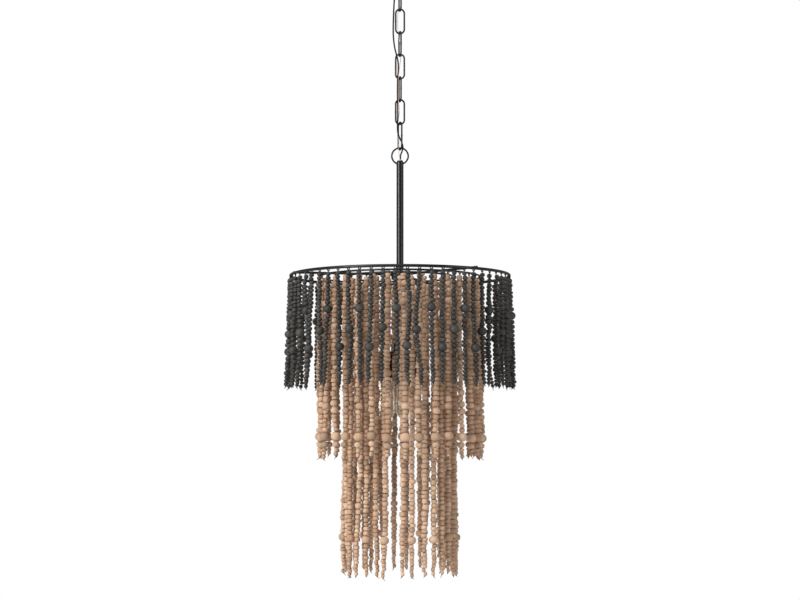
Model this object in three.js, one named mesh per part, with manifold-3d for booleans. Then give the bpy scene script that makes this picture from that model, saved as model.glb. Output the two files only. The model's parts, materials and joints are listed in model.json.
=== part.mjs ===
// A beaded chandelier. Three tiers of wooden bead strands hang from three round metal rings, which
// spokes and a stem carry on a short chain from a ceiling canopy.
// Millimetres, +Z up. The origin is the middle of the ceiling plane that the chandelier hangs from.

import * as THREE from 'three';
import { mergeVertices } from 'three/addons/utils/BufferGeometryUtils.js';
import Module from 'manifold-3d';

const wasm = await Module();
wasm.setup();

// Driving dimensions

const touchGap = 0.3; // between pieces that rest on, screw into or weld to each other
const cutOverrun = 1; // how far a cutting solid runs past what it cuts

const canopy = {
  diameter: 127, depth: 28, wall: 1.2, rimHeight: 5, screwedFlat: 40,
  shoulderRadiusShare: 0.84, shoulderDepthShare: 0.68,
};
const crossbar = {
  rimClearance: 10.3, width: 22, thickness: 1.6, slotLength: 12, slotWidth: 5, slotSpacing: 70,
};
const groundScrew = { headDiameter: 8, headHeight: 2.4, shankDiameter: 3.6, fromCentre: 22 };
const nipple = { diameter: 13, bore: 9.8, inCollar: 5 };
const lockNut = { acrossCorners: 22, thickness: 4, sides: 6 };
const collar = {
  diameter: 26, height: 18, chamberDiameter: 17, chamberHeight: 8,
  loopDiameter: 28, loopWire: 4, loopDrop: 5,
};
const chain = {
  links: 7, linkLength: 55.3, bottomLinkLength: 61, linkWidth: 21.5, wire: 3.6,
  twist: 14, bottomTwist: 24, // how far a link turns past square to the one above it, in degrees
};
const stemRing = { diameter: 37.5, wire: 3.5 };
const stem = {
  diameter: 14.6, bore: 12, aboveRings: 240, belowRings: 148,
  ringCentreAboveTop: 10, domeHeight: 5, topDiameter: 10.4, mouth: 8.4,
  bendDiameter: 13.1, bendDepth: 1.7, // where the dome turns from its flat top to its slope
};
const bushing = { diameter: 10, bore: 7.6, height: 1.6 };
const hub = { diameter: 36, height: 16, chamfer: 2 };
const spoke = { count: 3, diameter: 5, firstAngle: 73, aboveOuterRing: 3.1 };
const socketPlate = { diameter: 100, thickness: 3, neckDiameter: 26, neckHeight: 18, studHole: 7 };
const socket = { count: 3, firstAngle: 295, circleRadius: 32, diameter: 34, height: 50, cupDepth: 26 };
const bulb = { diameter: 45, length: 110, baseDiameter: 26, baseLength: 26, wall: 1, endGap: 2 };
const finial = {
  diameter: 16, height: 22, studLength: 9,
  // shares of the full width and of the height, from the plate down
  outlineShares: [[1, 0], [1, 0.12], [0.55, 0.25], [0.8, 0.5], [0.8, 0.7], [0.35, 1]],
};
const lampCord = { diameter: 3.3, steps: 46 };
const groundWire = { diameter: 1.2, steps: 50 };

// Larger beads: a depth is from the rings' plane to a bead's middle.
const blackBead = { diameter: 18.6, height: 17.5, upperDepth: 82, midDepth: 122, lowerDepth: 157 };
const beadPair = { depth: 271, diameter: 15.2, height: 26 };
const middleBead = { depth: 331, diameter: 20.5, height: 18.8 };
const innerUpperBead = { depth: 469, diameter: 14.5, height: 14 };
const innerLowerBead = { depth: 534, diameter: 18.4, height: 16.4 };

// Each tier: the ring that carries it, how far outside the ring's middle its strands hang, and their
// small beads. Strand i has the larger beads of pattern i in turn.
const outerTier = {
  name: 'outer', ringRadius: 225.6, rod: 6, outset: 0.9, strands: 60, groups: 12, length: 229.2,
  bead: 8.9, tail: 6, firstStrandAngle: 267.7, ringSegments: 48, colour: 0x33302e,
  patterns: [
    [{ ...blackBead, depth: blackBead.upperDepth }],
    [{ ...blackBead, depth: blackBead.lowerDepth }],
    [{ ...blackBead, depth: blackBead.midDepth }],
  ],
};
const middleTier = {
  name: 'middle', ringRadius: 165, rod: 4, outset: 0, strands: 33, groups: 8, length: 373.7,
  bead: 10.8, tail: 30, firstStrandAngle: 272.7, ringSegments: 40, colour: 0xc4a081,
  patterns: [[beadPair, middleBead]],
};
const innerTier = {
  name: 'inner', ringRadius: 111, rod: 4, outset: 0, strands: 29, groups: 7, length: 609,
  bead: 11, tail: 66, firstStrandAngle: 96.2, ringSegments: 32, colour: 0xc4a081,
  patterns: [[innerUpperBead], [innerLowerBead]],
};
const tiers = [outerTier, middleTier, innerTier];
const tie = {
  width: 2.4, thickness: 2.4, underRing: 0.75, thread: 1.8, threadLength: 1.2, endDiameter: 3.6,
};
const beadRowShare = 0.92; // the mean width of a row of round beads, as a share of one bead
const beadFlatShare = 0.4; // how much of a large bead's height stays near its full width

const sides = { rod: 6, wire: 6, strand: 5, cord: 8, turned: 16, stem: 12, bulb: 8 };
const segments = { link: 16, loop: 20, bulbEnd: 4 };

const metalFinish = { color: 0x1d1c1b, roughness: 0.45, metalness: 0.85 };

// Levels, all worked out downwards from the ceiling

const collarTop = -canopy.depth - touchGap;
const collarBottom = collarTop - collar.height;
const loopCentre = collarBottom - collar.loopDrop;
const loopRadius = (collar.loopDiameter - collar.loopWire) / 2;
const linkReach = (chain.linkLength - chain.wire) / 2;
const bottomLinkReach = (chain.bottomLinkLength - chain.wire) / 2;
const linkPitch = chain.linkLength - 2 * chain.wire - touchGap;
const topLinkCentre = loopCentre - loopRadius + (collar.loopWire + chain.wire) / 2 + touchGap - linkReach;
const secondLinkCentre = topLinkCentre - (chain.links - 2) * linkPitch;
const bottomLinkCentre = secondLinkCentre - (linkReach + bottomLinkReach - chain.wire - touchGap);
const linkCentres = [bottomLinkCentre]; // from the bottom up
for (let i = 1; i < chain.links; i += 1) linkCentres.push(secondLinkCentre + (i - 1) * linkPitch);
const stemRingRadius = (stemRing.diameter - stemRing.wire) / 2;
const stemRingCentre =
  bottomLinkCentre - bottomLinkReach + (chain.wire + stemRing.wire) / 2 + touchGap - stemRingRadius;
const stemTop = stemRingCentre - stem.ringCentreAboveTop;
const ringPlane = stemTop - stem.aboveRings;
const stemBottom = ringPlane - stem.belowRings;
const plateTop = stemBottom + socketPlate.neckHeight / 2 - socketPlate.neckHeight;
const plateBottom = plateTop - socketPlate.thickness;
const socketMouth = plateBottom - touchGap - socket.height;

// Shape helpers

function turned(profile, count) {
  const geometry = new THREE.LatheGeometry(profile.map(([r, z]) => new THREE.Vector2(r, z)), count);
  return geometry.rotateX(Math.PI / 2);
}

// A turned profile listed from the top down, so that its faces point outwards.
function turnedDown(profile, count) {
  return turned([...profile].reverse(), count);
}

function solid(geometry) {
  const bare = new THREE.BufferGeometry();
  bare.setAttribute('position', geometry.getAttribute('position').clone());
  bare.setIndex(geometry.getIndex());
  const merged = mergeVertices(bare);
  const corners = merged.getIndex().array;
  const kept = [];
  for (let i = 0; i < corners.length; i += 3) {
    const [a, b, c] = corners.slice(i, i + 3);
    if (a !== b && b !== c && c !== a) kept.push(a, b, c);
  }
  const vertProperties = new Float32Array(merged.getAttribute('position').array);
  return new wasm.Manifold(new wasm.Mesh({ numProp: 3, vertProperties, triVerts: new Uint32Array(kept) }));
}

function surface(manifold) {
  const mesh = manifold.getMesh();
  const geometry = new THREE.BufferGeometry();
  geometry.setAttribute('position', new THREE.BufferAttribute(new Float32Array(mesh.vertProperties), 3));
  geometry.setIndex(new THREE.BufferAttribute(new Uint32Array(mesh.triVerts), 1));
  return geometry;
}

function joined(geometries) {
  return surface(wasm.Manifold.union(geometries.map(solid)));
}

function cutBy(geometry, cutters) {
  return surface(cutters.reduce((body, cutter) => body.subtract(solid(cutter)), solid(geometry)));
}

function standingCylinder(diameter, top, bottom, count, x = 0, y = 0) {
  const geometry = new THREE.CylinderGeometry(diameter / 2, diameter / 2, top - bottom, count);
  return geometry.rotateX(Math.PI / 2).translate(x, y, (top + bottom) / 2);
}

function radians(degrees) {
  return THREE.MathUtils.degToRad(degrees);
}

// A stadium-shaped link in the XZ plane: a torus whose two halves are drawn apart.
function linkGeometry(length) {
  const halfStep = Math.PI / segments.link;
  const endRadius = (chain.linkWidth - chain.wire) / 2;
  const straight = length - chain.linkWidth;
  const torus = new THREE.TorusGeometry(
    endRadius / Math.cos(halfStep), chain.wire / 2, sides.wire, segments.link,
  );
  torus.rotateZ(halfStep);
  const position = torus.getAttribute('position');
  for (let i = 0; i < position.count; i += 1) {
    position.setY(i, position.getY(i) + (Math.sign(position.getY(i)) * straight) / 2);
  }
  return torus.rotateX(Math.PI / 2);
}

// A round wire ring in the XZ plane.
function wireRing(outerDiameter, wire) {
  const torus = new THREE.TorusGeometry((outerDiameter - wire) / 2, wire / 2, sides.wire, segments.loop);
  return torus.rotateX(Math.PI / 2);
}

// A rod bent to a level circle, with an edge of its section straight down.
function rodRing(radius, rod, count) {
  const section = [];
  for (let i = 0; i <= sides.rod; i += 1) {
    const angle = -Math.PI / 2 + (2 * Math.PI * i) / sides.rod;
    section.push([radius + (rod / 2) * Math.cos(angle), (rod / 2) * Math.sin(angle)]);
  }
  return turned(section, count);
}

function cordGeometry(cord, route) {
  const path = new THREE.CatmullRomCurve3(route.map(([x, y, z]) => new THREE.Vector3(x, y, z)));
  const section = new THREE.Shape();
  for (let i = 0; i < sides.cord; i += 1) {
    const angle = (2 * Math.PI * i) / sides.cord;
    const across = (cord.diameter / 2) * Math.cos(angle);
    const along = (cord.diameter / 2) * Math.sin(angle);
    if (i === 0) section.moveTo(across, along);
    else section.lineTo(across, along);
  }
  section.closePath();
  return new THREE.ExtrudeGeometry(section, { steps: cord.steps, extrudePath: path });
}

const chandelier = new THREE.Group();

function add(name, geometry, finish, parent = chandelier) {
  const mesh = new THREE.Mesh(geometry, new THREE.MeshStandardMaterial(finish));
  mesh.name = name;
  parent.add(mesh);
  return mesh;
}

// Canopy: a spun dish whose rim meets the ceiling, with a hole for the nipple in its flat bottom

function canopyGeometry() {
  const rim = canopy.diameter / 2;
  const shoulder = rim * canopy.shoulderRadiusShare;
  const shoulderDepth = canopy.depth * canopy.shoulderDepthShare;
  const flat = canopy.screwedFlat / 2;
  const hole = nipple.diameter / 2 + touchGap;
  const outside = [[rim, 0], [rim, -canopy.rimHeight], [shoulder, -shoulderDepth], [flat, -canopy.depth]];
  const inside = [
    [flat, -canopy.depth + canopy.wall],
    [shoulder - canopy.wall, -shoulderDepth + canopy.wall],
    [rim - canopy.wall, -canopy.rimHeight],
    [rim - canopy.wall, 0],
  ];
  const profile = [
    ...outside, [hole, -canopy.depth], [hole, -canopy.depth + canopy.wall], ...inside, [rim, 0],
  ];
  return turnedDown(profile, sides.turned);
}

// Crossbar: a flat strap on the ceiling box, with two slots for the box's screws

function crossbarGeometry() {
  const { width, thickness, slotLength, slotWidth, slotSpacing } = crossbar;
  const length = canopy.diameter - 2 * (canopy.wall + crossbar.rimClearance);
  const strap = new THREE.BoxGeometry(length, width, thickness).translate(0, 0, -thickness / 2);
  const over = cutOverrun;
  const cutters = [standingCylinder(nipple.diameter + 2 * touchGap, over, -thickness - over, sides.stem)];
  for (const side of [-1, 1]) {
    const slot = new THREE.BoxGeometry(slotLength, slotWidth, thickness + 2 * over);
    cutters.push(slot.translate((side * slotSpacing) / 2, 0, -thickness / 2));
  }
  const screwHole = groundScrew.shankDiameter + 2 * touchGap;
  cutters.push(standingCylinder(screwHole, over, -thickness - over, sides.wire, groundScrew.fromCentre));
  return cutBy(strap, cutters);
}

function groundScrewGeometry() {
  const headTop = -crossbar.thickness - touchGap;
  const head = groundScrew.headDiameter / 2;
  const shank = groundScrew.shankDiameter / 2;
  const profile = [
    [0, 0], [shank, 0], [shank, headTop], [head, headTop],
    [head, headTop - groundScrew.headHeight], [0, headTop - groundScrew.headHeight],
  ];
  return turnedDown(profile, sides.stem).translate(groundScrew.fromCentre, 0, 0);
}

function nippleGeometry() {
  const bottom = collarTop - nipple.inCollar;
  const outer = nipple.diameter / 2;
  const inner = nipple.bore / 2;
  return turnedDown([[outer, 0], [outer, bottom], [inner, bottom], [inner, 0], [outer, 0]], sides.stem);
}

function lockNutGeometry() {
  const top = -crossbar.thickness - touchGap;
  const bottom = top - lockNut.thickness;
  const holeDiameter = nipple.diameter + 2 * touchGap;
  const hole = standingCylinder(holeDiameter, top + cutOverrun, bottom - cutOverrun, sides.stem);
  return cutBy(standingCylinder(lockNut.acrossCorners, top, bottom, lockNut.sides), [hole]);
}

// Collar: it screws onto the nipple under the canopy, and its loop carries the chain

function collarGeometry() {
  const outer = collar.diameter / 2;
  const seat = nipple.diameter / 2 + touchGap;
  const chamber = collar.chamberDiameter / 2;
  const step = collarBottom + collar.chamberHeight;
  const body = turnedDown([
    [outer, collarTop], [outer, collarBottom], [chamber, collarBottom], [chamber, step],
    [seat, step], [seat, collarTop], [outer, collarTop],
  ], sides.turned);
  const loop = wireRing(collar.loopDiameter, collar.loopWire).translate(0, 0, loopCentre);
  return joined([body, loop]);
}

add('canopy', canopyGeometry(), metalFinish);
add('crossbar', crossbarGeometry(), { color: 0x9a9a98, roughness: 0.4, metalness: 0.9 });
add('ground_screw', groundScrewGeometry(), { color: 0x2f6b3c, roughness: 0.4, metalness: 0.7 });
add('nipple', nippleGeometry(), { color: 0xb39a5a, roughness: 0.35, metalness: 0.9 });
add('lock_nut', lockNutGeometry(), { color: 0xb39a5a, roughness: 0.35, metalness: 0.9 });
add('collar_loop', collarGeometry(), metalFinish);

// Chain: link 1 is at the bottom, longer than the others, and every second link stands across the rest

for (let i = 0; i < chain.links; i += 1) {
  const isBottom = i === 0;
  const geometry = linkGeometry(isBottom ? chain.bottomLinkLength : chain.linkLength);
  const link = add(`chain_link_${i + 1}`, geometry, metalFinish);
  link.position.z = linkCentres[i];
  if (i % 2 === 0) link.rotation.z = radians(90 + (isBottom ? chain.bottomTwist : chain.twist));
}

// Stem: a tube with a domed top and a cross hole, and the ring through it

function stemGeometry() {
  const outer = stem.diameter / 2;
  const bore = stem.bore / 2;
  const domeFoot = stemTop - stem.domeHeight;
  const bend = stemTop - stem.bendDepth;
  const top = stem.topDiameter / 2;
  const mouth = stem.mouth / 2;
  const tube = turnedDown([
    [top, stemTop], [stem.bendDiameter / 2, bend], [outer, domeFoot], [outer, stemBottom],
    [bore, stemBottom], [bore, domeFoot], [mouth, bend], [mouth, stemTop], [top, stemTop],
  ], sides.stem);
  const ringWay = wireRing(stemRing.diameter + 2 * touchGap, stemRing.wire + 2 * touchGap);
  return cutBy(tube, [ringWay.translate(0, 0, stemRingCentre)]);
}

function bushingGeometry() {
  const bottom = stemTop + touchGap;
  const top = bottom + bushing.height;
  const outer = bushing.diameter / 2;
  const bore = bushing.bore / 2;
  return turnedDown([[outer, top], [outer, bottom], [bore, bottom], [bore, top], [outer, top]], sides.stem);
}

function hubGeometry() {
  const outer = hub.diameter / 2;
  const bore = stem.diameter / 2 + touchGap;
  const half = hub.height / 2;
  const neck = outer - hub.chamfer;
  return turnedDown([
    [neck, half], [outer, half - hub.chamfer], [outer, -half + hub.chamfer], [neck, -half],
    [bore, -half], [bore, half], [neck, half],
  ], sides.turned);
}

add('stem', stemGeometry(), metalFinish);
add('stem_ring', wireRing(stemRing.diameter, stemRing.wire), metalFinish).position.z = stemRingCentre;
add('cord_bushing', bushingGeometry(), { color: 0xe3dccb, roughness: 0.5, metalness: 0 });
add('hub', hubGeometry(), metalFinish).position.z = ringPlane;

// Rings and spokes: the spokes butt on the outer ring, and the two inner rings hang under them

for (const tier of tiers) {
  const underSpokes = spoke.diameter / 2 + touchGap + tier.rod / 2 - spoke.aboveOuterRing;
  tier.drop = tier === outerTier ? 0 : underSpokes;
  tier.strandRadius = tier.ringRadius + tier.outset;
  const ring = rodRing(tier.ringRadius, tier.rod, tier.ringSegments);
  add(`${tier.name}_ring`, ring, metalFinish).position.z = ringPlane - tier.drop;
}
for (let i = 0; i < spoke.count; i += 1) {
  const start = hub.diameter / 2 + touchGap;
  const end = outerTier.ringRadius - outerTier.rod / 2 - touchGap;
  const rod = new THREE.CylinderGeometry(spoke.diameter / 2, spoke.diameter / 2, end - start, sides.rod);
  rod.rotateZ(-Math.PI / 2).translate((start + end) / 2, 0, 0);
  const mesh = add(`spoke_${i + 1}`, rod, metalFinish);
  mesh.rotation.z = radians(spoke.firstAngle + (360 / spoke.count) * i);
  mesh.position.z = ringPlane + spoke.aboveOuterRing;
}

// Lamp cluster: a plate on the stem's foot with three sockets and clear bulbs that point down

function plateGeometry() {
  const neck = socketPlate.neckDiameter / 2;
  const rim = socketPlate.diameter / 2;
  const seat = stem.diameter / 2 + touchGap;
  const seatFloor = stemBottom - touchGap;
  const stud = socketPlate.studHole / 2;
  const neckTop = plateTop + socketPlate.neckHeight;
  return turnedDown([
    [neck, neckTop], [neck, plateTop], [rim, plateTop], [rim, plateBottom], [stud, plateBottom],
    [stud, seatFloor], [seat, seatFloor], [seat, neckTop], [neck, neckTop],
  ], sides.turned);
}

function socketGeometry() {
  const outer = socket.diameter / 2;
  const cup = bulb.baseDiameter / 2 + touchGap;
  const top = plateBottom - touchGap;
  const cupTop = socketMouth + socket.cupDepth;
  return turnedDown([
    [0, top], [outer, top], [outer, socketMouth], [cup, socketMouth], [cup, cupTop], [0, cupTop],
  ], sides.bulb);
}

// The glass is a shell open at its base. Its shape follows a tubular lamp with a round end.
function bulbGeometry() {
  const base = bulb.baseDiameter / 2;
  const belly = bulb.diameter / 2;
  const top = socketMouth + socket.cupDepth - bulb.endGap;
  const baseEnd = top - bulb.baseLength;
  const tip = top - bulb.length;
  const hollowBase = base - bulb.wall;
  const hollow = belly - bulb.wall;
  const outside = [[base, top], [base, baseEnd], [belly, baseEnd - belly]];
  const inside = [[hollowBase, top], [hollowBase, baseEnd], [hollow, baseEnd - belly]];
  for (let i = 0; i < segments.bulbEnd; i += 1) {
    const angle = (Math.PI / 2) * (i / segments.bulbEnd);
    outside.push([belly * Math.cos(angle), tip + belly - belly * Math.sin(angle)]);
    inside.push([hollow * Math.cos(angle), tip + belly - hollow * Math.sin(angle)]);
  }
  const innerTip = [0, tip + bulb.wall];
  return turnedDown([...outside, [0, tip], innerTip, ...inside.reverse(), [base, top]], sides.bulb);
}

function finialGeometry() {
  const stud = socketPlate.studHole / 2 - touchGap;
  const top = plateBottom - touchGap;
  const tip = top - finial.height;
  const wide = finial.diameter / 2;
  const outline = finial.outlineShares.map(([across, down]) => [wide * across, top - finial.height * down]);
  const studTop = top + finial.studLength;
  return turnedDown([[0, studTop], [stud, studTop], [stud, top], ...outline, [0, tip]], sides.stem);
}

add('socket_plate', plateGeometry(), metalFinish);
for (let i = 0; i < socket.count; i += 1) {
  const angle = radians(socket.firstAngle + (360 / socket.count) * i);
  const place = [socket.circleRadius * Math.cos(angle), socket.circleRadius * Math.sin(angle), 0];
  add(`socket_${i + 1}`, socketGeometry(), metalFinish).position.set(...place);
  const glass = { color: 0xf3e6c8, roughness: 0.05, metalness: 0, transparent: true, opacity: 0.4 };
  add(`bulb_${i + 1}`, bulbGeometry(), glass).position.set(...place);
}
add('finial', finialGeometry(), metalFinish);

// Bead strands: each group is a few strands tied to one thin bar that runs under the ring

function strandGeometry(tier, largeBeads) {
  const tieBottom = -tier.drop - tier.rod / 2 - tie.underRing - tie.thickness;
  const firstBead = tieBottom - tie.threadLength;
  const row = (tier.bead * beadRowShare) / 2;
  const profile = [[0, tieBottom + tie.thickness / 2], [tie.thread / 2, tieBottom + tie.thickness / 2]];
  profile.push([row, firstBead]);
  for (const { depth, diameter, height } of largeBeads) {
    const flat = (height * beadFlatShare) / 2;
    profile.push([row, -depth + height / 2], [diameter / 2, -depth + flat]);
    profile.push([diameter / 2, -depth - flat], [row, -depth - height / 2]);
  }
  const end = tie.endDiameter / 2;
  profile.push([row, -tier.length + tier.tail], [end, -tier.length], [0, -tier.length]);
  return turnedDown(profile, sides.strand);
}

function tieGeometry(tier, startAngle, endAngle, count) {
  const outline = new THREE.Shape();
  const outer = tier.strandRadius + tie.width / 2;
  const inner = tier.strandRadius - tie.width / 2;
  const step = (endAngle - startAngle) / (count - 1);
  for (let i = 0; i < count; i += 1) {
    const angle = startAngle + step * i;
    if (i === 0) outline.moveTo(outer * Math.cos(angle), outer * Math.sin(angle));
    else outline.lineTo(outer * Math.cos(angle), outer * Math.sin(angle));
  }
  for (let i = count - 1; i >= 0; i -= 1) {
    const angle = startAngle + step * i;
    outline.lineTo(inner * Math.cos(angle), inner * Math.sin(angle));
  }
  outline.closePath();
  const top = -tier.drop - tier.rod / 2 - tie.underRing;
  const bar = new THREE.ExtrudeGeometry(outline, { depth: tie.thickness, bevelEnabled: false });
  return bar.translate(0, 0, top - tie.thickness);
}

function strandGroupGeometry(tier, first, count) {
  const step = radians(360 / tier.strands);
  const start = radians(tier.firstStrandAngle) + first * step;
  const margin = tie.width / tier.strandRadius;
  const end = start + (count - 1) * step;
  const pieces = [tieGeometry(tier, start - margin, end + margin, count)];
  for (let i = 0; i < count; i += 1) {
    const angle = start + i * step;
    const beads = tier.patterns[(first + i) % tier.patterns.length];
    const strand = strandGeometry(tier, beads).rotateZ(angle);
    const place = [tier.strandRadius * Math.cos(angle), tier.strandRadius * Math.sin(angle), 0];
    pieces.push(strand.translate(...place));
  }
  return joined(pieces);
}

for (const tier of tiers) {
  const finish = { color: tier.colour, roughness: 0.62, metalness: 0 };
  for (let group = 0; group < tier.groups; group += 1) {
    const first = Math.floor((tier.strands * group) / tier.groups);
    const next = Math.floor((tier.strands * (group + 1)) / tier.groups);
    const strands = strandGroupGeometry(tier, first, next - first);
    add(`${tier.name}_strands_${group + 1}`, strands, finish).position.z = ringPlane;
  }
}

// Lamp cord and ground wire: from the nipple down through and beside the links into the stem

const lampCordRoute = [
  [0, 3.7, -444.1], [0, 3.8, -433.6], [0.2, 2.9, -430.3], [0.5, 1.8, -426.7], [0.8, 0.8, -422.1],
  [1.4, -0.5, -414.1], [4.8, -2.5, -405.6], [5.9, -4.2, -398.1], [3.9, -3.6, -389.4],
  [0.4, -2.6, -381.1], [-3.1, -2.8, -372.9], [-5, -3.9, -363.2], [-5.1, -4.5, -347.2],
  [-4.7, -3, -334.9], [-4.6, 0, -322.2], [-4.7, 3, -309.7], [-5, 4.4, -298.5], [-5.3, 3.6, -285.6],
  [-5.3, 3.1, -274.4], [-5.2, 3.7, -262], [-4.8, 4.3, -250.8], [-3.7, 2.5, -239], [-3.5, -0.5, -226.1],
  [-4.9, -3.5, -214.3], [-7.8, -5.1, -203.1], [-11.4, -4.8, -187.2], [-13.8, -3.8, -165.6],
  [-14.1, -3, -144.1], [-13.5, -2.7, -121], [-12.6, -3, -101], [-11.3, -3.7, -80.5], [-8.7, -4.5, -68.3],
  [-5.6, -5, -58.6], [-3, -5.1, -48], [-1.2, -4.6, -39.5], [-0.4, -2.7, -33.2], [0, -1.5, -25],
  [0, -1.4, -1],
];
const groundWireRoute = [
  [0, -3.6, -444.1], [0, -3.4, -432.6], [-0.4, -2.4, -426.1], [-1.6, -2.2, -415.1], [-2.8, -2.9, -405.1],
  [-3.3, -2.6, -398.1], [-3.4, -0.2, -386.4], [-3.6, 2.3, -372.3], [-3.8, 3.2, -360.9],
  [-4.1, 2.6, -346.7], [-2.4, 1.9, -333.8], [-1.5, 0, -321.5], [-2, -2, -310.3], [-3, -3.1, -298.5],
  [-3.4, -3.3, -285.6], [-3.5, -3.2, -274.4], [-3.4, -3.3, -262], [-3, -3.2, -250.8],
  [-1.8, -2.2, -238.5], [-0.5, -0.2, -226.1], [1.2, 1.9, -213.8], [2.9, 3, -203.1], [2.6, 2.7, -191.3],
  [0.1, 2.3, -179], [-2.5, 2.7, -166.6], [-3.7, 2.9, -155.4], [-4.6, 1.8, -143.1], [-4.9, 1.1, -130.7],
  [-4.4, 1.9, -118.4], [-3.6, 3, -107.2], [-3.4, 3.3, -94.8], [-3.4, 3.3, -82.6], [-3.5, 3.3, -69.3],
  [-3.5, 3.4, -59.1], [-2.4, 3.5, -48], [-1, 3.5, -38], [-0.3, 3.1, -31], [0, 2.5, -24], [0, 2.4, -1],
];
const cordFinish = { color: 0x2b2220, roughness: 0.7, metalness: 0 };
const wireFinish = { color: 0xd9cfc4, roughness: 0.4, metalness: 0 };
add('lamp_cord', cordGeometry(lampCord, lampCordRoute), cordFinish);
add('ground_wire', cordGeometry(groundWire, groundWireRoute), wireFinish);

export default chandelier;
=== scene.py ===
"""A beaded chandelier: three tiers of wooden bead strands on metal rings, hung on a chain."""

import json
import math
import random

import bmesh
import bpy
from bpy.props import FloatProperty, FloatVectorProperty, IntProperty, PointerProperty
from mathutils import Matrix, Vector

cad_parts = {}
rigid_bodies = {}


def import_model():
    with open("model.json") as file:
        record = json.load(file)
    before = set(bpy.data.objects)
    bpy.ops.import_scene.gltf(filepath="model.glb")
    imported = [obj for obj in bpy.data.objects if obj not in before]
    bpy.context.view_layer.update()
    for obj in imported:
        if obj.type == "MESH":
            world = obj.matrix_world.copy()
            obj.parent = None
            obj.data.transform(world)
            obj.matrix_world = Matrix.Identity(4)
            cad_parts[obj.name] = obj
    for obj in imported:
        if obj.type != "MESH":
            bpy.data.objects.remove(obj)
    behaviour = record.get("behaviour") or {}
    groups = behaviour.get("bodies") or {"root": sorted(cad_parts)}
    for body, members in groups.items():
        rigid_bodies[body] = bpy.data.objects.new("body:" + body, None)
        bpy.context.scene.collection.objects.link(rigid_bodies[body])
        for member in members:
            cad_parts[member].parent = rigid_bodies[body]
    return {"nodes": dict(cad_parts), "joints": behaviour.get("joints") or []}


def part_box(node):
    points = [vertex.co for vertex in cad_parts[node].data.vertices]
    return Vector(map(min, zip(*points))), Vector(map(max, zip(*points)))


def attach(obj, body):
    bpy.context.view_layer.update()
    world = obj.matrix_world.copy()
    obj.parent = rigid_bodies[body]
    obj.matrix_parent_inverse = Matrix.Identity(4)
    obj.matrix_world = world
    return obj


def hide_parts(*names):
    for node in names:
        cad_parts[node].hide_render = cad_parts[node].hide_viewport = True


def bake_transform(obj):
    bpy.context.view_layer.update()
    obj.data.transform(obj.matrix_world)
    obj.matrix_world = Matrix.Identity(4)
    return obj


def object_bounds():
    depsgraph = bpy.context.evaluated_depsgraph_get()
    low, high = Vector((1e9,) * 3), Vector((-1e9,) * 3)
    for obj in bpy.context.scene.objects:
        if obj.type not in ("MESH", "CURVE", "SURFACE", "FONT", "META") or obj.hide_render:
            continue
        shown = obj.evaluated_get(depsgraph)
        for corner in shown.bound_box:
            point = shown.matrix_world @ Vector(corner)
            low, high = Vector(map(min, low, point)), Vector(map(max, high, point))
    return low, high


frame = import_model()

bl_info = {
    "name": "Beaded Chandelier",
    "version": (1, 0, 0),
    "blender": (4, 5, 0),
    "location": "View3D > Sidebar > Chandelier",
    "description": "Makes the beads, metal, cords, lamps and stage of a tiered bead chandelier",
    "category": "Add Mesh",
}

CAD_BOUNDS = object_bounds()
IMAGE_WIDTH = 800
SENSOR_WIDTH = 36
MM = 0.001
WELD_DISTANCE = 1e-6
SHARP_ANGLE = math.radians(38)
NODE_STEP = 200
UP = Vector((0, 0, 1))


# Places and sizes read from the frame

def centre(node):
    low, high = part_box(node)
    return (low + high) / 2


def extent(node):
    low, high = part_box(node)
    return high - low


LINKS = [name for name in frame["nodes"] if name.startswith("chain_link_")]
RING_PLANE = centre("outer_ring").z


# The three tiers, in millimetres and degrees. A row is the diameter and height of its small beads, and
# end_row how many taper at the end. The strands take the patterns of larger beads in turn, each bead as
# its depth from the rings' plane down to its middle, its diameter and its height.

BLACK_LARGE = (18.6, 17.5)


def black_cluster(depth):
    """A large black bead with two medium ones above it and three below."""
    return (
        (depth - 22.6, 10.6, 9), (depth - 13.4, 11.8, 9.4), (depth, *BLACK_LARGE),
        (depth + 13.7, 12.8, 10.2), (depth + 23.4, 12, 9.4), (depth + 32.4, 11, 9),
    )


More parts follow.
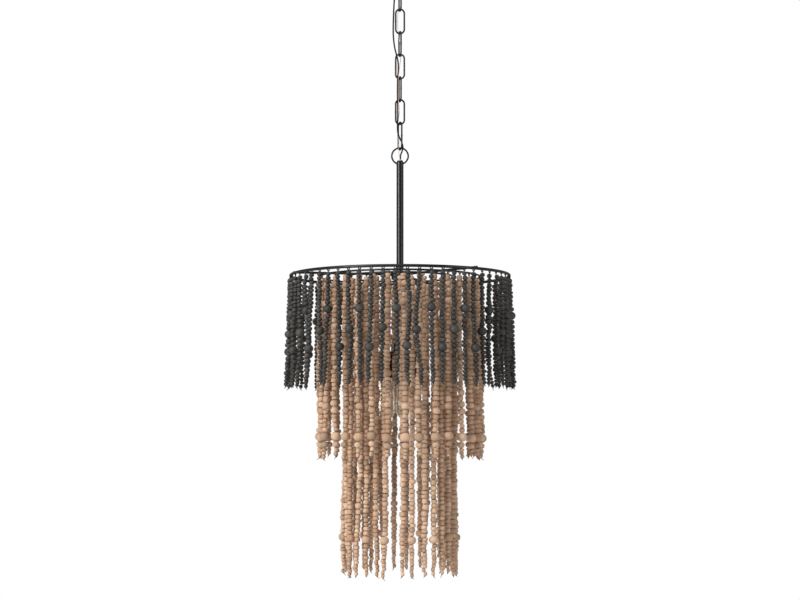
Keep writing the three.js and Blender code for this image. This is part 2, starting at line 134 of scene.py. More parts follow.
TIERS = {
    "outer": {
        "groups": 12, "strands": 60, "first_angle": 267.7, "strand_radius": 226.5, "length": 229.2,
        "slot": "black_beads", "row": (10.3, 8.3), "row_spread": 0.16, "end_row": 3, "end_diameter": 8.6,
        "sway": 6.6, "flare": (-1, 8), "length_spread": 4.0, "wobble": 0.65,
        "patterns": (black_cluster(82), black_cluster(157), black_cluster(122)),
    },
    "middle": {
        "groups": 8, "strands": 33, "first_angle": 272.7, "strand_radius": 165, "length": 373.7,
        "slot": "wood_beads", "row": (11.6, 8.6), "row_spread": 0.2, "end_row": 3, "end_diameter": 8.4,
        "sway": 5.6, "flare": (-2, 5), "length_spread": 5.0, "wobble": 0.85,
        "patterns": (
            ((27, 13.6, 13.4), (63, 17.4, 16), (150, 14, 13), (257, 13.4, 13), (272, 16.2, 14.6),
             (331, 20.6, 18.8), (347, 15, 13)),
            ((25, 13, 12.4), (112, 15.6, 14), (245, 12.8, 11.6), (264, 15.2, 14), (278, 16.6, 14.2),
             (329, 20.4, 18.8), (345.5, 14.6, 13)),
            ((28, 13.8, 13.6), (84, 14.6, 13), (204, 15.8, 14.6), (266, 14.6, 13), (280, 15.6, 14),
             (332, 20.4, 18.6), (348, 14.6, 12.6)),
        ),
    },
    "inner": {
        "groups": 7, "strands": 29, "first_angle": 96.2, "strand_radius": 111, "length": 609,
        "slot": "wood_beads", "row": (12.2, 8.7), "row_spread": 0.2, "end_row": 9, "end_diameter": 7.4,
        "sway": 8.6, "flare": (-3, 4), "length_spread": 6.0, "wobble": 0.85,
        "patterns": (
            ((27, 13.6, 13), (118, 14.6, 13.4), (360, 13.6, 12.6), (469, 15.2, 13.8), (483, 13.4, 11)),
            ((26, 13.4, 12.6), (236, 14.4, 13.2), (420, 13.8, 12.4), (534, 18.6, 16.6)),
        ),
    },
}


def tier_ring(name):
    return f"{name}_ring"


def ring_rod(name):
    return extent(tier_ring(name)).z


def ring_radius(name):
    return extent(tier_ring(name)).x / 2 - ring_rod(name) / 2


# Settings that a user would change

class BeadSettings(bpy.types.PropertyGroup):
    seed: IntProperty(name="Seed", description="Chooses the beads' chance differences", default=41)
    sides: IntProperty(name="Sides", description="Sides of a small bead", default=10, min=6)
    large_sides: IntProperty(name="Large sides", description="Sides of a large bead", default=18, min=8)
    large_from: FloatProperty(
        name="Large from", description="Diameter from which a bead is made finer",
        default=14 * MM, unit="LENGTH",
    )
    thread: FloatProperty(
        name="Thread", description="Diameter of the thread through the beads",
        default=1.3 * MM, unit="LENGTH",
    )
    eyelet: FloatProperty(
        name="Eyelet", description="Outer diameter of the eyelets under a ring",
        default=6.8 * MM, unit="LENGTH",
    )
    eyelet_wire: FloatProperty(
        name="Eyelet wire", description="Wire diameter of an eyelet", default=2.4 * MM, unit="LENGTH",
    )
    black_light: FloatVectorProperty(
        name="Black, lit grain", description="Lighter grain of the black beads", subtype="COLOR",
        default=(0.043, 0.042, 0.039), min=0, max=1,
    )
    black_dark: FloatVectorProperty(
        name="Black, deep grain", description="Darker grain of the black beads", subtype="COLOR",
        default=(0.017, 0.016, 0.015), min=0, max=1,
    )
    wood_light: FloatVectorProperty(
        name="Wood, lit grain", description="Lighter grain of the natural beads", subtype="COLOR",
        default=(0.88, 0.645, 0.455), min=0, max=1,
    )
    wood_dark: FloatVectorProperty(
        name="Wood, deep grain", description="Darker grain of the natural beads", subtype="COLOR",
        default=(0.43, 0.25, 0.15), min=0, max=1,
    )


class MetalSettings(bpy.types.PropertyGroup):
    black: FloatVectorProperty(
        name="Black paint", description="Colour of the painted metal", subtype="COLOR",
        default=(0.0052, 0.005, 0.0046), min=0, max=1,
    )
    roughness: FloatProperty(
        name="Roughness", description="Roughness of the painted metal", default=0.24, min=0, max=1,
    )
    turn_steps: IntProperty(
        name="Turn steps", description="Steps round a turned piece", default=64, min=12,
    )
    wire_sides: IntProperty(name="Wire sides", description="Sides of a wire", default=12, min=6)
    bend_steps: IntProperty(
        name="Bend steps", description="Steps round a link's end", default=18, min=6,
    )


class CordSettings(bpy.types.PropertyGroup):
    cord_diameter: FloatProperty(
        name="Lamp cord", description="Diameter of the lamp cord", default=3.3 * MM, unit="LENGTH",
    )
    wire_diameter: FloatProperty(
        name="Ground wire", description="Diameter of the ground wire", default=1.2 * MM, unit="LENGTH",
    )
    cord_colour: FloatVectorProperty(
        name="Cord cover", description="Colour of the braided cover", subtype="COLOR",
        default=(0.024, 0.0145, 0.0115), min=0, max=1,
    )
    wire_colour: FloatVectorProperty(
        name="Wire cover", description="Colour of the ground wire", subtype="COLOR",
        default=(0.5, 0.37, 0.31), min=0, max=1,
    )


class StageSettings(bpy.types.PropertyGroup):
    focal_pixels: FloatProperty(
        name="Focal length", description="Focal length in pixels of the photograph",
        default=1757, min=100,
    )
    distance: FloatProperty(
        name="Distance", description="From the camera to the chandelier's axis",
        default=3.609, unit="LENGTH",
    )
    below_rings: FloatProperty(
        name="Below the rings", description="How far the camera is below the rings' plane",
        default=0.33475, unit="LENGTH",
    )
    tilt: FloatProperty(
        name="Tilt", description="How far the camera looks up",
        default=math.radians(4.521), unit="ROTATION",
    )
    floor_drop: FloatProperty(
        name="Floor drop", description="From the strands' ends down to the floor",
        default=0.45, unit="LENGTH",
    )
    world_light: FloatProperty(
        name="World light", description="Strength of the light from all round", default=0.15, min=0,
    )
    mirrored_light: FloatProperty(
        name="Mirrored light", description="Strength of the surroundings in a reflection",
        default=0.26, min=0,
    )


# Mesh helpers

def vertex_chain(bm, points):
    """Vertices at the points and the edges between them."""
    verts = [bm.verts.new(point) for point in points]
    edges = [bm.edges.new(pair) for pair in zip(verts, verts[1:])]
    return verts + edges


def arc(middle, radii, start, end, steps):
    """Points (radius, height) on an ellipse's arc, angles in degrees from outwards to up."""
    points = []
    for i in range(steps + 1):
        angle = math.radians(start + (end - start) * i / steps)
        points.append((middle[0] + radii[0] * math.cos(angle), middle[1] + radii[1] * math.sin(angle)))
    return points


def close_up(bm):
    bmesh.ops.remove_doubles(bm, verts=bm.verts, dist=WELD_DISTANCE)
    bmesh.ops.recalc_face_normals(bm, faces=bm.faces)
    return bm


def spun(bm, line, steps):
    """Spins a line or a section once round the Z axis."""
    bmesh.ops.spin(bm, geom=line, cent=(0, 0, 0), axis=UP, angle=math.tau, steps=steps, use_merge=True)
    return close_up(bm)


def turn(profile, steps):
    """A solid turned from (radius, height) points, on a closed or pole-to-pole line."""
    bm = bmesh.new()
    line = vertex_chain(bm, [(radius, 0, height) for radius, height in profile])
    return spun(bm, line, steps)


def wire_loop(radius, wire, steps, wire_sides):
    """A round ring of wire, lying level about the origin."""
    bm = bmesh.new()
    made = bmesh.ops.create_circle(bm, segments=wire_sides, radius=wire / 2)
    section = made["verts"]
    bmesh.ops.rotate(bm, verts=section, cent=(0, 0, 0), matrix=Matrix.Rotation(math.pi / 2, 3, "X"))
    bmesh.ops.translate(bm, verts=section, vec=(radius, 0, 0))
    return spun(bm, section + bm.edges[:], steps)


def rod(start, end, diameter, wire_sides, rounding=0.0):
    """A straight rod between two points, with bevelled ends where rounding is given."""
    bm = bmesh.new()
    start, end, radius = Vector(start), Vector(end), diameter / 2
    way = end - start
    bmesh.ops.create_cone(
        bm, cap_ends=True, segments=wire_sides, radius1=radius, radius2=radius, depth=way.length,
    )
    if rounding:
        soften(bm, rounding)
    turned = way.to_track_quat("Z", "Y").to_matrix().to_4x4()
    return placed(bm, Matrix.Translation((start + end) / 2) @ turned)


def soften(bm, width, segments=2, limit=SHARP_ANGLE):
    """Rounds every edge that is sharper than the limit."""
    sharp = [edge for edge in bm.edges if edge.is_manifold and edge.calc_face_angle() > limit]
    bmesh.ops.bevel(
        bm, geom=sharp, offset=width, segments=segments, profile=0.5, affect="EDGES", material=-1,
        clamp_overlap=True,
    )
    return bm


def placed(bm, matrix):
    bmesh.ops.transform(bm, verts=bm.verts, matrix=matrix)
    return bm


def of_kind(geom, kind):
    return [item for item in geom if isinstance(item, kind)]


def drawn_on(bm, edges):
    """Extrudes a row of edges and returns the new vertices and edges."""
    grown = bmesh.ops.extrude_edge_only(bm, edges=edges)["geom"]
    return of_kind(grown, bmesh.types.BMVert), of_kind(grown, bmesh.types.BMEdge)


def outward(angle):
    """The level direction at an angle round the axis."""
    return Vector((math.cos(angle), math.sin(angle), 0))


def merged(parts):
    """Several bmeshes as one, each kept as its own closed shell."""
    whole = bmesh.new()
    for part in parts:
        step = bpy.data.meshes.new("step")
        part.to_mesh(step)
        part.free()
        whole.from_mesh(step)
        bpy.data.meshes.remove(step)
    return whole


def piece(bm, name, material, body=None, stands_for=()):
    """Makes the mesh a named piece that rides on a body and stands for its CAD nodes."""
    mesh = bpy.data.meshes.new(name)
    bm.to_mesh(mesh)
    bm.free()
    mesh.shade_smooth()
    mesh.set_sharp_from_angle(angle=SHARP_ANGLE)
    mesh.materials.append(material)
    made = bpy.data.objects.new(name, mesh)
    bpy.context.scene.collection.objects.link(made)
    if body:
        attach(made, body)
    if stands_for:
        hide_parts(*stands_for)
    return made


# Materials

def fill(tree, node, inputs):
    """Gives each input a plain value, or joins it to another node's output."""
    for socket, value in inputs.items():
        if isinstance(value, bpy.types.NodeSocket):
            tree.links.new(value, node.inputs[socket])
        else:
            node.inputs[socket].default_value = value


def add_node(tree, kind, inputs=None, **settings):
    """Puts a node beside the ones before it and returns its outputs."""
    made = tree.nodes.new(kind)
    made.location = (NODE_STEP * len(tree.nodes), 0)
    for name, value in settings.items():
        setattr(made, name, value)
    fill(tree, made, inputs or {})
    return made.outputs


def maths(tree, operation, first, second, third=0.0, clamp=False):
    inputs = {0: first, 1: second, 2: third}
    return add_node(tree, "ShaderNodeMath", inputs, operation=operation, use_clamp=clamp)[0]


def spread(tree, value, low, high, top=1.0, interpolation="LINEAR"):
    """What lies between low and high, spread over 0 to top."""
    inputs = {"Value": value, "From Min": low, "From Max": high, "To Max": top}
    return add_node(tree, "ShaderNodeMapRange", inputs, interpolation_type=interpolation)[0]


def blended(tree, share, first, second, blend="MIX"):
    inputs = {"Factor": share, "A": first, "B": second}
    return add_node(tree, "ShaderNodeMix", inputs, data_type="RGBA", blend_type=blend)["Result"]


def own_place(tree):
    return add_node(tree, "ShaderNodeTexCoord")["Object"]


def noise(tree, place, scale, detail=2.0, roughness=0.5):
    inputs = {"Vector": place, "Scale": scale, "Detail": detail, "Roughness": roughness}
    return add_node(tree, "ShaderNodeTexNoise", inputs)["Fac"]


def bumped(tree, height, strength, distance):
    inputs = {"Height": height, "Strength": strength, "Distance": distance}
    return add_node(tree, "ShaderNodeBump", inputs)["Normal"]


def new_group(name, inputs):
    """A node group with the named inputs, which puts out a colour, a roughness and a height."""
    tree = bpy.data.node_groups.new(name, "ShaderNodeTree")
    colour, value = "NodeSocketColor", "NodeSocketFloat"
    for socket, default in inputs.items():
        kind = value if isinstance(default, float) else colour
        made = tree.interface.new_socket(name=socket, in_out="INPUT", socket_type=kind)
        made.default_value = default
    for socket, kind in (("Color", colour), ("Roughness", value), ("Height", value)):
        tree.interface.new_socket(name=socket, in_out="OUTPUT", socket_type=kind)
    return tree, tree.nodes.new("NodeGroupInput").outputs


def grain_group():
    """Turned wood: grain along each bead, a tone of its own and painted shade at its ends and round its
    hole.
    """
    name = "Turned bead wood"
    if name in bpy.data.node_groups:
        return bpy.data.node_groups[name]
    tree, given = new_group(name, {
        "Light": (1, 1, 1, 1), "Dark": (0, 0, 0, 1), "Blush": (0.5, 0.3, 0.2, 1),
        "Weathered": (0.4, 0.35, 0.3, 1), "Tone Spread": 0.5, "Dirt": 0.5, "Roughness": 0.6,
    })
    own = add_node(tree, "ShaderNodeAttribute", attribute_name="bead")["Vector"]
    chances = add_node(tree, "ShaderNodeSeparateXYZ", {0: own})
    shift = {0: own, 1: (3, 3, 3), 2: own_place(tree)}
    shifted = add_node(tree, "ShaderNodeVectorMath", shift, operation="MULTIPLY_ADD")[0]
    stretched = add_node(tree, "ShaderNodeMapping", {"Vector": shifted, "Scale": (1, 1, 0.16)})[0]
    grain = noise(tree, stretched, 900, 5, 0.65)
    pores = noise(tree, shifted, 2600, 3)

    # how dark the wood is here: the bead's own tone and the grain
    tone = maths(tree, "MULTIPLY", chances["X"], given["Tone Spread"])
    streaks = spread(tree, grain, 0.36, 0.68, 0.42)
    darkness = maths(tree, "ADD", tone, streaks, clamp=True)
    body = blended(tree, darkness, given["Light"], given["Dark"])

    # some beads blush towards pink, and a few are weathered
    blush = maths(tree, "MULTIPLY", maths(tree, "POWER", chances["Y"], 2.5), 0.6)
    tinted = blended(tree, blush, body, given["Blush"])
    weather = maths(tree, "POWER", chances["Z"], 3.5)
    greyed = blended(tree, weather, tinted, given["Weathered"])

    # painted shade towards the bead's ends and hole, where it meets the next bead
    pole = add_node(tree, "ShaderNodeAttribute", attribute_name="pole")["Fac"]
    crease = spread(tree, pole, 0.7, 1.0, interpolation="SMOOTHSTEP")
    painted_end_shade = maths(tree, "MULTIPLY", crease, given["Dirt"])
    fill(tree, tree.nodes.new("NodeGroupOutput"), {
        "Color": blended(tree, painted_end_shade, greyed, (0.24, 0.15, 0.1, 1), "MULTIPLY"),
        "Roughness": maths(tree, "MULTIPLY_ADD", pores, 0.22, given["Roughness"], clamp=True),
        "Height": maths(tree, "ADD", grain, pores),
    })
    return tree


def paint_group():
    """A sprayed or plated coat: fine texture, slight patches of gloss and a worn tint on them."""
    name = "Sprayed coat"
    if name in bpy.data.node_groups:
        return bpy.data.node_groups[name]
    tree, given = new_group(name, {
        "Coat": (0, 0, 0, 1), "Worn": (0.1, 0.1, 0.1, 1), "Roughness": 0.4, "Texture Scale": 900.0,
        "Patch Scale": 25.0, "Wear": 0.3,
    })
    place = own_place(tree)
    patches = noise(tree, place, given["Patch Scale"], 4)
    worn = maths(tree, "MULTIPLY", spread(tree, patches, 0.45, 0.75), given["Wear"])
    fill(tree, tree.nodes.new("NodeGroupOutput"), {
        "Color": blended(tree, worn, given["Coat"], given["Worn"]),
        "Roughness": maths(tree, "MULTIPLY_ADD", patches, 0.18, given["Roughness"], clamp=True),
        "Height": noise(tree, place, given["Texture Scale"], 3),
    })
    return tree


def new_material(name):
    material = bpy.data.materials.new(name)
    material.use_nodes = True
    tree = material.node_tree
    return material, tree, tree.nodes["Principled BSDF"]


def dressed(name, group, bump_strength, bump_distance, inputs, finish):
    """A material whose colour, roughness and bump come from a placed group."""
    material, tree, shader = new_material(name)
    used = add_node(tree, "ShaderNodeGroup", inputs, node_tree=group)
    fill(tree, shader, {
        "Base Color": used["Color"], "Roughness": used["Roughness"],
        "Normal": bumped(tree, used["Height"], bump_strength, bump_distance), **finish,
    })
    return material


def opaque(colour):
    return (*colour, 1)


GRAIN_DEPTH, COAT_DEPTH = 0.25 * MM, 0.1 * MM


def black_bead_wood(settings):
    return dressed("Black bead wood", grain_group(), 0.35, GRAIN_DEPTH, {
        "Light": opaque(settings.black_light), "Dark": opaque(settings.black_dark),
        "Blush": (0.05, 0.047, 0.043, 1), "Weathered": (0.06, 0.058, 0.053, 1), "Tone Spread": 0.55,
        # painted shade at the beads' ends and hole, at the strength on this line
        "Dirt": 0.6, "Roughness": 0.46,
    }, {"Specular IOR Level": 0.42})


def natural_bead_wood(settings):
    return dressed("Natural bead wood", grain_group(), 0.3, GRAIN_DEPTH, {
        "Light": opaque(settings.wood_light), "Dark": opaque(settings.wood_dark),
        "Blush": (0.64, 0.395, 0.275, 1), "Weathered": (0.4, 0.27, 0.18, 1), "Tone Spread": 0.85,
        # painted shade at the beads' ends and hole, at the strength on this line
        "Dirt": 0.5, "Roughness": 0.62,
    }, {"Specular IOR Level": 0.3})


def coated(name, coat, worn, roughness, metallic=0.0, wear=0.3, specular=0.5, texture=900.0, bump=0.12):
    """A plain coat or bare metal with its fine texture."""
    return dressed(name, paint_group(), bump, COAT_DEPTH, {
        "Coat": opaque(coat), "Worn": opaque(worn), "Roughness": roughness, "Texture Scale": texture,
        "Wear": wear,
    }, {"Metallic": metallic, "Specular IOR Level": specular})


def waxed_thread(name, colour):
    worn = [1.6 * channel for channel in colour]
    return coated(name, colour, worn, roughness=0.6, texture=1600.0, bump=0.4)


def black_metal():
    name = "Satin black metal"
    if name in bpy.data.materials:
        return bpy.data.materials[name]
    settings = bpy.context.scene.chandelier_metal
    black, roughness = settings.black, settings.roughness
    worn = [1.8 * channel for channel in black]
    return coated(name, black, worn, roughness, wear=0.35, specular=0.4, bump=0.02)


def brass():
    name = "Plain brass"
    if name in bpy.data.materials:
        return bpy.data.materials[name]
    bright, dull = (0.62, 0.43, 0.17), (0.4, 0.25, 0.1)
    return coated(name, bright, dull, roughness=0.25, metallic=1.0, wear=0.5, texture=500.0)


def black_piece(bm, name, body, stands_for=()):
    return piece(bm, name, black_metal(), body, stands_for)


def bulb_glass():
    material, tree, shader = new_material("Clear bulb glass")
    streaks = noise(tree, own_place(tree), 14)
    fill(tree, shader, {
        "Base Color": (1.0, 0.97, 0.9, 1), "Transmission Weight": 1, "Roughness": 0.03, "IOR": 1.46,
        "Normal": bumped(tree, streaks, 0.05, MM),
    })
    return material


def filament_phosphor():
    material, tree, shader = new_material("Filament phosphor")
    ramp = tree.nodes.new("ShaderNodeValToRGB")
    ramp.color_ramp.elements[0].color = (0.85, 0.36, 0.03, 1)
    ramp.color_ramp.elements[1].color = (1.0, 0.62, 0.12, 1)
    fill(tree, ramp, {"Fac": noise(tree, own_place(tree), 700)})
    fill(tree, shader, {"Base Color": ramp.outputs["Color"], "Roughness": 0.5})
    return material


def braided_cover(settings):
    """Two crossing sets of threads round the cord, from its own UV map."""
    material, tree, shader = new_material("Braided cord cover")
    place = add_node(tree, "ShaderNodeUVMap", uv_map="UVMap")["UV"]
    waves = []
    for turned in (1, -1):
        slanted = add_node(tree, "ShaderNodeMapping", {
            "Vector": place, "Scale": (1, 8 * turned, 1), "Rotation": (0, 0, turned * math.radians(45)),
        })[0]
        waves.append(add_node(tree, "ShaderNodeTexWave", {"Vector": slanted, "Scale": 2})["Fac"])
    woven = maths(tree, "MAXIMUM", *waves)
    deep = [0.45 * channel for channel in settings.cord_colour]
    fill(tree, shader, {
        "Base Color": blended(tree, woven, opaque(deep), opaque(settings.cord_colour)),
        "Normal": bumped(tree, woven, 0.6, 0.2 * MM), "Roughness": 0.9, "Specular IOR Level": 0.25,
    })
    return material


# Cords. The routes are the ones that the solids follow, in millimetres from the ceiling's middle. They
# were first chosen, and a fitting program then moved them clear of the turned links.

LAMP_CORD_ROUTE = [
    (0, 3.7, -444.1), (0, 3.8, -433.6), (0.2, 2.9, -430.3), (0.5, 1.8, -426.7), (0.8, 0.8, -422.1),
    (1.4, -0.5, -414.1), (4.8, -2.5, -405.6), (5.9, -4.2, -398.1), (3.9, -3.6, -389.4), (0.4, -2.6, -381.1),
    (-3.1, -2.8, -372.9), (-5, -3.9, -363.2), (-5.1, -4.5, -347.2), (-4.7, -3, -334.9), (-4.6, 0, -322.2),
    (-4.7, 3, -309.7), (-5, 4.4, -298.5), (-5.3, 3.6, -285.6), (-5.3, 3.1, -274.4), (-5.2, 3.7, -262),
    (-4.8, 4.3, -250.8), (-3.7, 2.5, -239), (-3.5, -0.5, -226.1), (-4.9, -3.5, -214.3),
    (-7.8, -5.1, -203.1), (-11.4, -4.8, -187.2), (-13.8, -3.8, -165.6), (-14.1, -3, -144.1),
    (-13.5, -2.7, -121), (-12.6, -3, -101), (-11.3, -3.7, -80.5), (-8.7, -4.5, -68.3), (-5.6, -5, -58.6),
    (-3, -5.1, -48), (-1.2, -4.6, -39.5), (-0.4, -2.7, -33.2), (0, -1.5, -25), (0, -1.4, -1),
]
GROUND_WIRE_ROUTE = [
    (0, -3.6, -444.1), (0, -3.4, -432.6), (-0.4, -2.4, -426.1), (-1.6, -2.2, -415.1), (-2.8, -2.9, -405.1),
    (-3.3, -2.6, -398.1), (-3.4, -0.2, -386.4), (-3.6, 2.3, -372.3), (-3.8, 3.2, -360.9),
    (-4.1, 2.6, -346.7), (-2.4, 1.9, -333.8), (-1.5, 0, -321.5), (-2, -2, -310.3), (-3, -3.1, -298.5),
    (-3.4, -3.3, -285.6), (-3.5, -3.2, -274.4), (-3.4, -3.3, -262), (-3, -3.2, -250.8),
    (-1.8, -2.2, -238.5), (-0.5, -0.2, -226.1), (1.2, 1.9, -213.8), (2.9, 3, -203.1), (2.6, 2.7, -191.3),
    (0.1, 2.3, -179), (-2.5, 2.7, -166.6), (-3.7, 2.9, -155.4), (-4.6, 1.8, -143.1), (-4.9, 1.1, -130.7),
    (-4.4, 1.9, -118.4), (-3.6, 3, -107.2), (-3.4, 3.3, -94.8), (-3.4, 3.3, -82.6), (-3.5, 3.3, -69.3),
    (-3.5, 3.4, -59.1), (-2.4, 3.5, -48), (-1, 3.5, -38), (-0.3, 3.1, -31), (0, 2.5, -24), (0, 2.4, -1),
]
CORD_STEPS = 5
CORD_SIDES = 10


def smooth_route(points, steps):
    """A curve through the points, each span eased by its neighbours' direction."""
    route = [Vector(point) * MM for point in points]
    knots = [2 * route[0] - route[1], *route, 2 * route[-1] - route[-2]]
    curve = []
    for before, start, end, after in zip(knots, knots[1:], knots[2:], knots[3:]):
        for i in range(steps):
            t = i / steps
            curve.append(
                0.5 * (2 * start + (end - before) * t
                       + (2 * before - 5 * start + 4 * end - after) * t * t
                       + (3 * start - before - 3 * end + after) * t * t * t)
            )
    return [*curve, route[-1]]


def cord_tube(curve, diameter):
    """A tube swept along the curve, with a UV map that runs round it and along it in cord diameters."""
    bm = bmesh.new()
    uv = bm.loops.layers.uv.new("UVMap")
    along = bm.verts.layers.float.new("along")
    bmesh.ops.create_circle(bm, segments=CORD_SIDES, radius=diameter / 2)
    direction = (curve[1] - curve[0]).normalized()
    turned = UP.rotation_difference(direction).to_matrix().to_4x4()
    placed(bm, Matrix.Translation(curve[0]) @ turned)
    edges = bm.edges[:]
    travelled = 0.0
    for i in range(1, len(curve)):
        verts, edges = drawn_on(bm, edges)
        step = curve[i] - curve[i - 1]
        ahead = (curve[min(i + 1, len(curve) - 1)] - curve[i - 1]).normalized()
        turned = direction.rotation_difference(ahead)
        bmesh.ops.translate(bm, verts=verts, vec=step)
        bmesh.ops.rotate(bm, verts=verts, cent=curve[i], matrix=turned.to_matrix())
        direction = ahead
        travelled += step.length
        for vert in verts:
            vert[along] = travelled / diameter
    bmesh.ops.recalc_face_normals(bm, faces=bm.faces)
    set_tube_uv(bm, uv, along)
    return bm


def set_tube_uv(bm, uv, along):
    """Every face of a tube gets its place along it, and its share of the way round."""
    for number, face in enumerate(bm.faces):
        around = number % CORD_SIDES
        low = min(loop.vert[along] for loop in face.loops)
        seen_low = []
        for loop in face.loops:
            at = loop.vert[along]
            side = around
            seen_low.append(loop.vert)
            if len([v for v in seen_low if (v[along] == low) == (at == low)]) > 1:
                side = around + 1
            loop[uv].uv = (at, side / CORD_SIDES)


def cut_between(bm, top, bottom):
    """Keeps what lies between two levels."""
    for level, normal in ((top, UP), (bottom, -UP)):
        if level is not None:
            whole = bm.verts[:] + bm.edges[:] + bm.faces[:]
            bmesh.ops.bisect_plane(
                bm, geom=whole, plane_co=(0, 0, level), plane_no=normal, clear_outer=True,
            )
    return bm


def lace(node, route, diameter, material):
    """Makes a cord in stretches, each of which spans one of the chain's joints."""
    curve = smooth_route(route, CORD_STEPS)
    chain = [
        joint for joint in frame["joints"]
        if "link" in joint["name"] or joint["child"] == "fixture"
    ]
    for number, joint in enumerate(chain):
        above, below = joint["parent"], joint["child"]
        top = None if above == "ceiling" else centre(f"chain_{above}").z
        bottom = None if below == "fixture" else centre(f"chain_{below}").z
        stretch = cut_between(cord_tube(curve, diameter), top, bottom)
        made = piece(stretch, f"{node}_stretch_{number + 1}", material, stands_for=[node])
        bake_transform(made)


class CHANDELIER_OT_cords(bpy.types.Operator):
    """Laces the lamp cord and the ground wire through the chain"""
    bl_idname = "chandelier.cords"
    bl_label = "Cords"

    def execute(self, context):
        settings = context.scene.chandelier_cords
        lace("lamp_cord", LAMP_CORD_ROUTE, settings.cord_diameter, braided_cover(settings))
        worn = (0.62, 0.5, 0.44)
        cover = coated("Pale wire cover", settings.wire_colour, worn, roughness=0.25, bump=0.05)
        cover.node_tree.nodes["Principled BSDF"].inputs["Coat Weight"].default_value = 0.4
        lace("ground_wire", GROUND_WIRE_ROUTE, settings.wire_diameter, cover)
        return {"FINISHED"}


# Ceiling hardware

CANOPY_STEPS = 96
NIPPLE_BORE = 9.8 * MM
CAD_WELD_DISTANCE = 1e-5


def canopy_dish(steps):
    """A spun dish: rolled rim, soft shoulder and a flat bottom with the nipple's hole."""
    size = extent("canopy")
    wall = 1.2 * MM
    rim, depth = size.x / 2, size.z
    hole = extent("nipple").x / 2 + 0.3 * MM
    flat, rim_height = 20 * MM, 5 * MM
    middle = (flat, -rim_height)
    outer = arc(middle, (rim - flat, depth - rim_height), 0, -90, 16)
    inner = arc(middle, (rim - flat - wall, depth - rim_height - wall), -90, 0, 16)
    lip = arc((rim - wall / 2, -wall / 2), (wall / 2, wall / 2), 180, 0, 6)
    profile = [*outer, (hole, -depth), (hole, wall - depth), *inner, *lip, outer[0]]
    return turn(profile, steps)


def threaded_rod(top, bottom, diameter, bore, steps):
    """A tube with a turned thread on its outside, as close-set grooves."""
    pitch, groove = 1.4 * MM, 0.45 * MM
    outer = diameter / 2
    profile = [(bore / 2, top), (outer - groove, top)]
    turns = int((top - bottom) / pitch)
    for i in range(turns):
        start = top - pitch * i
        profile.append((outer, start - pitch / 2))
        profile.append((outer - groove, start - pitch))
    profile += [(outer - groove, bottom), (bore / 2, bottom), (bore / 2, top)]
    return turn(profile, steps)


def cad_finished(node, material):
    """A CAD node whose shape is right keeps it, with its edges rounded and a finish of its own."""
    kept = frame["nodes"][node]
    weld = kept.modifiers.new("weld", "WELD")
    weld.merge_threshold = CAD_WELD_DISTANCE
    bevel = kept.modifiers.new("round", "BEVEL")
    bevel.width = 0.3 * MM
    bevel.segments = 2
    bevel.limit_method = "ANGLE"
    kept.data.materials.clear()
    kept.data.materials.append(material)


class CHANDELIER_OT_ceiling(bpy.types.Operator):
    """Spins the canopy and finishes the crossbar, nipple, nut and ground screw inside it"""
    bl_idname = "chandelier.ceiling"
    bl_label = "Ceiling hardware"

    def execute(self, context):
        steps = context.scene.chandelier_metal.turn_steps
        black_piece(canopy_dish(CANOPY_STEPS), "canopy_dish", "ceiling", ["canopy"])
        low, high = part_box("nipple")
        nipple = threaded_rod(high.z, low.z, extent("nipple").x, NIPPLE_BORE, steps)
        piece(nipple, "threaded_nipple", brass(), "ceiling", ["nipple"])
        cad_finished("lock_nut", brass())
        bright, dull = (0.55, 0.56, 0.55), (0.38, 0.38, 0.36)
        zinc = coated("Zinc plate", bright, dull, roughness=0.28, metallic=1.0, wear=0.6, texture=400.0)
        cad_finished("crossbar", zinc)
        self.ground_screw(steps)
        return {"FINISHED"}

    def ground_screw(self, steps):
        """A round cheese head under the crossbar, and its shank."""
        low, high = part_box("ground_screw")
        head, shank = extent("ground_screw").x / 2, 1.8 * MM
        edge, head_height = 0.8 * MM, 2.4 * MM
        seat = low.z + head_height
        profile = [
            (0, low.z), *arc((head - edge, low.z + edge), (edge, edge), -90, 0, 5),
            (head, seat), (shank, seat), (shank, high.z), (0, high.z),
        ]
        bm = placed(turn(profile, steps // 2), Matrix.Translation((centre("ground_screw").x, 0, 0)))
        green, worn = (0.03, 0.21, 0.06), (0.1, 0.26, 0.1)
        plate = coated("Green screw", green, worn, roughness=0.3, metallic=0.6, wear=0.4)
        piece(bm, "ground_screw_head", plate, "ceiling", ["ground_screw"])


# Collar, chain and stem

UPRIGHT = Matrix.Rotation(math.pi / 2, 4, "X")
SET_SCREW_ANGLES = (250, 130)


def collar_and_loop(steps, wire_sides):
    """A turned collar with two grooves, and the round loop under it."""
    low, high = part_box("collar_loop")
    top = high.z
    outer, seat, chamber = 13 * MM, 6.8 * MM, 8.5 * MM
    height, chamber_height = 18 * MM, 8 * MM
    chamfer, groove, groove_shares = 1.2 * MM, 0.9 * MM, (0.28, 0.62)
    loop_reach, wire = 14 * MM, 4 * MM
    bottom = top - height
    profile = [(seat, top), (outer - chamfer, top), (outer, top - chamfer)]
    for share in groove_shares:
        level = top - height * share
        profile += [(outer, level + groove), (outer - groove, level), (outer, level - groove)]
    profile += [
        (outer, bottom + chamfer), (outer - chamfer, bottom), (chamber, bottom),
        (chamber, bottom + chamber_height), (seat, bottom + chamber_height), (seat, top),
    ]
    loop = wire_loop(loop_reach - wire / 2, wire, 48, wire_sides)
    standing = Matrix.Translation((0, 0, top - (high - low).z + loop_reach)) @ UPRIGHT
    return merged([turn(profile, steps), placed(loop, standing)])


LINK_WIDTH, LINK_WIRE = 21.5 * MM, 3.6 * MM
LINK_TURNS = {"chain_link_1": 114, "chain_link_3": 104, "chain_link_5": 104, "chain_link_7": 104}


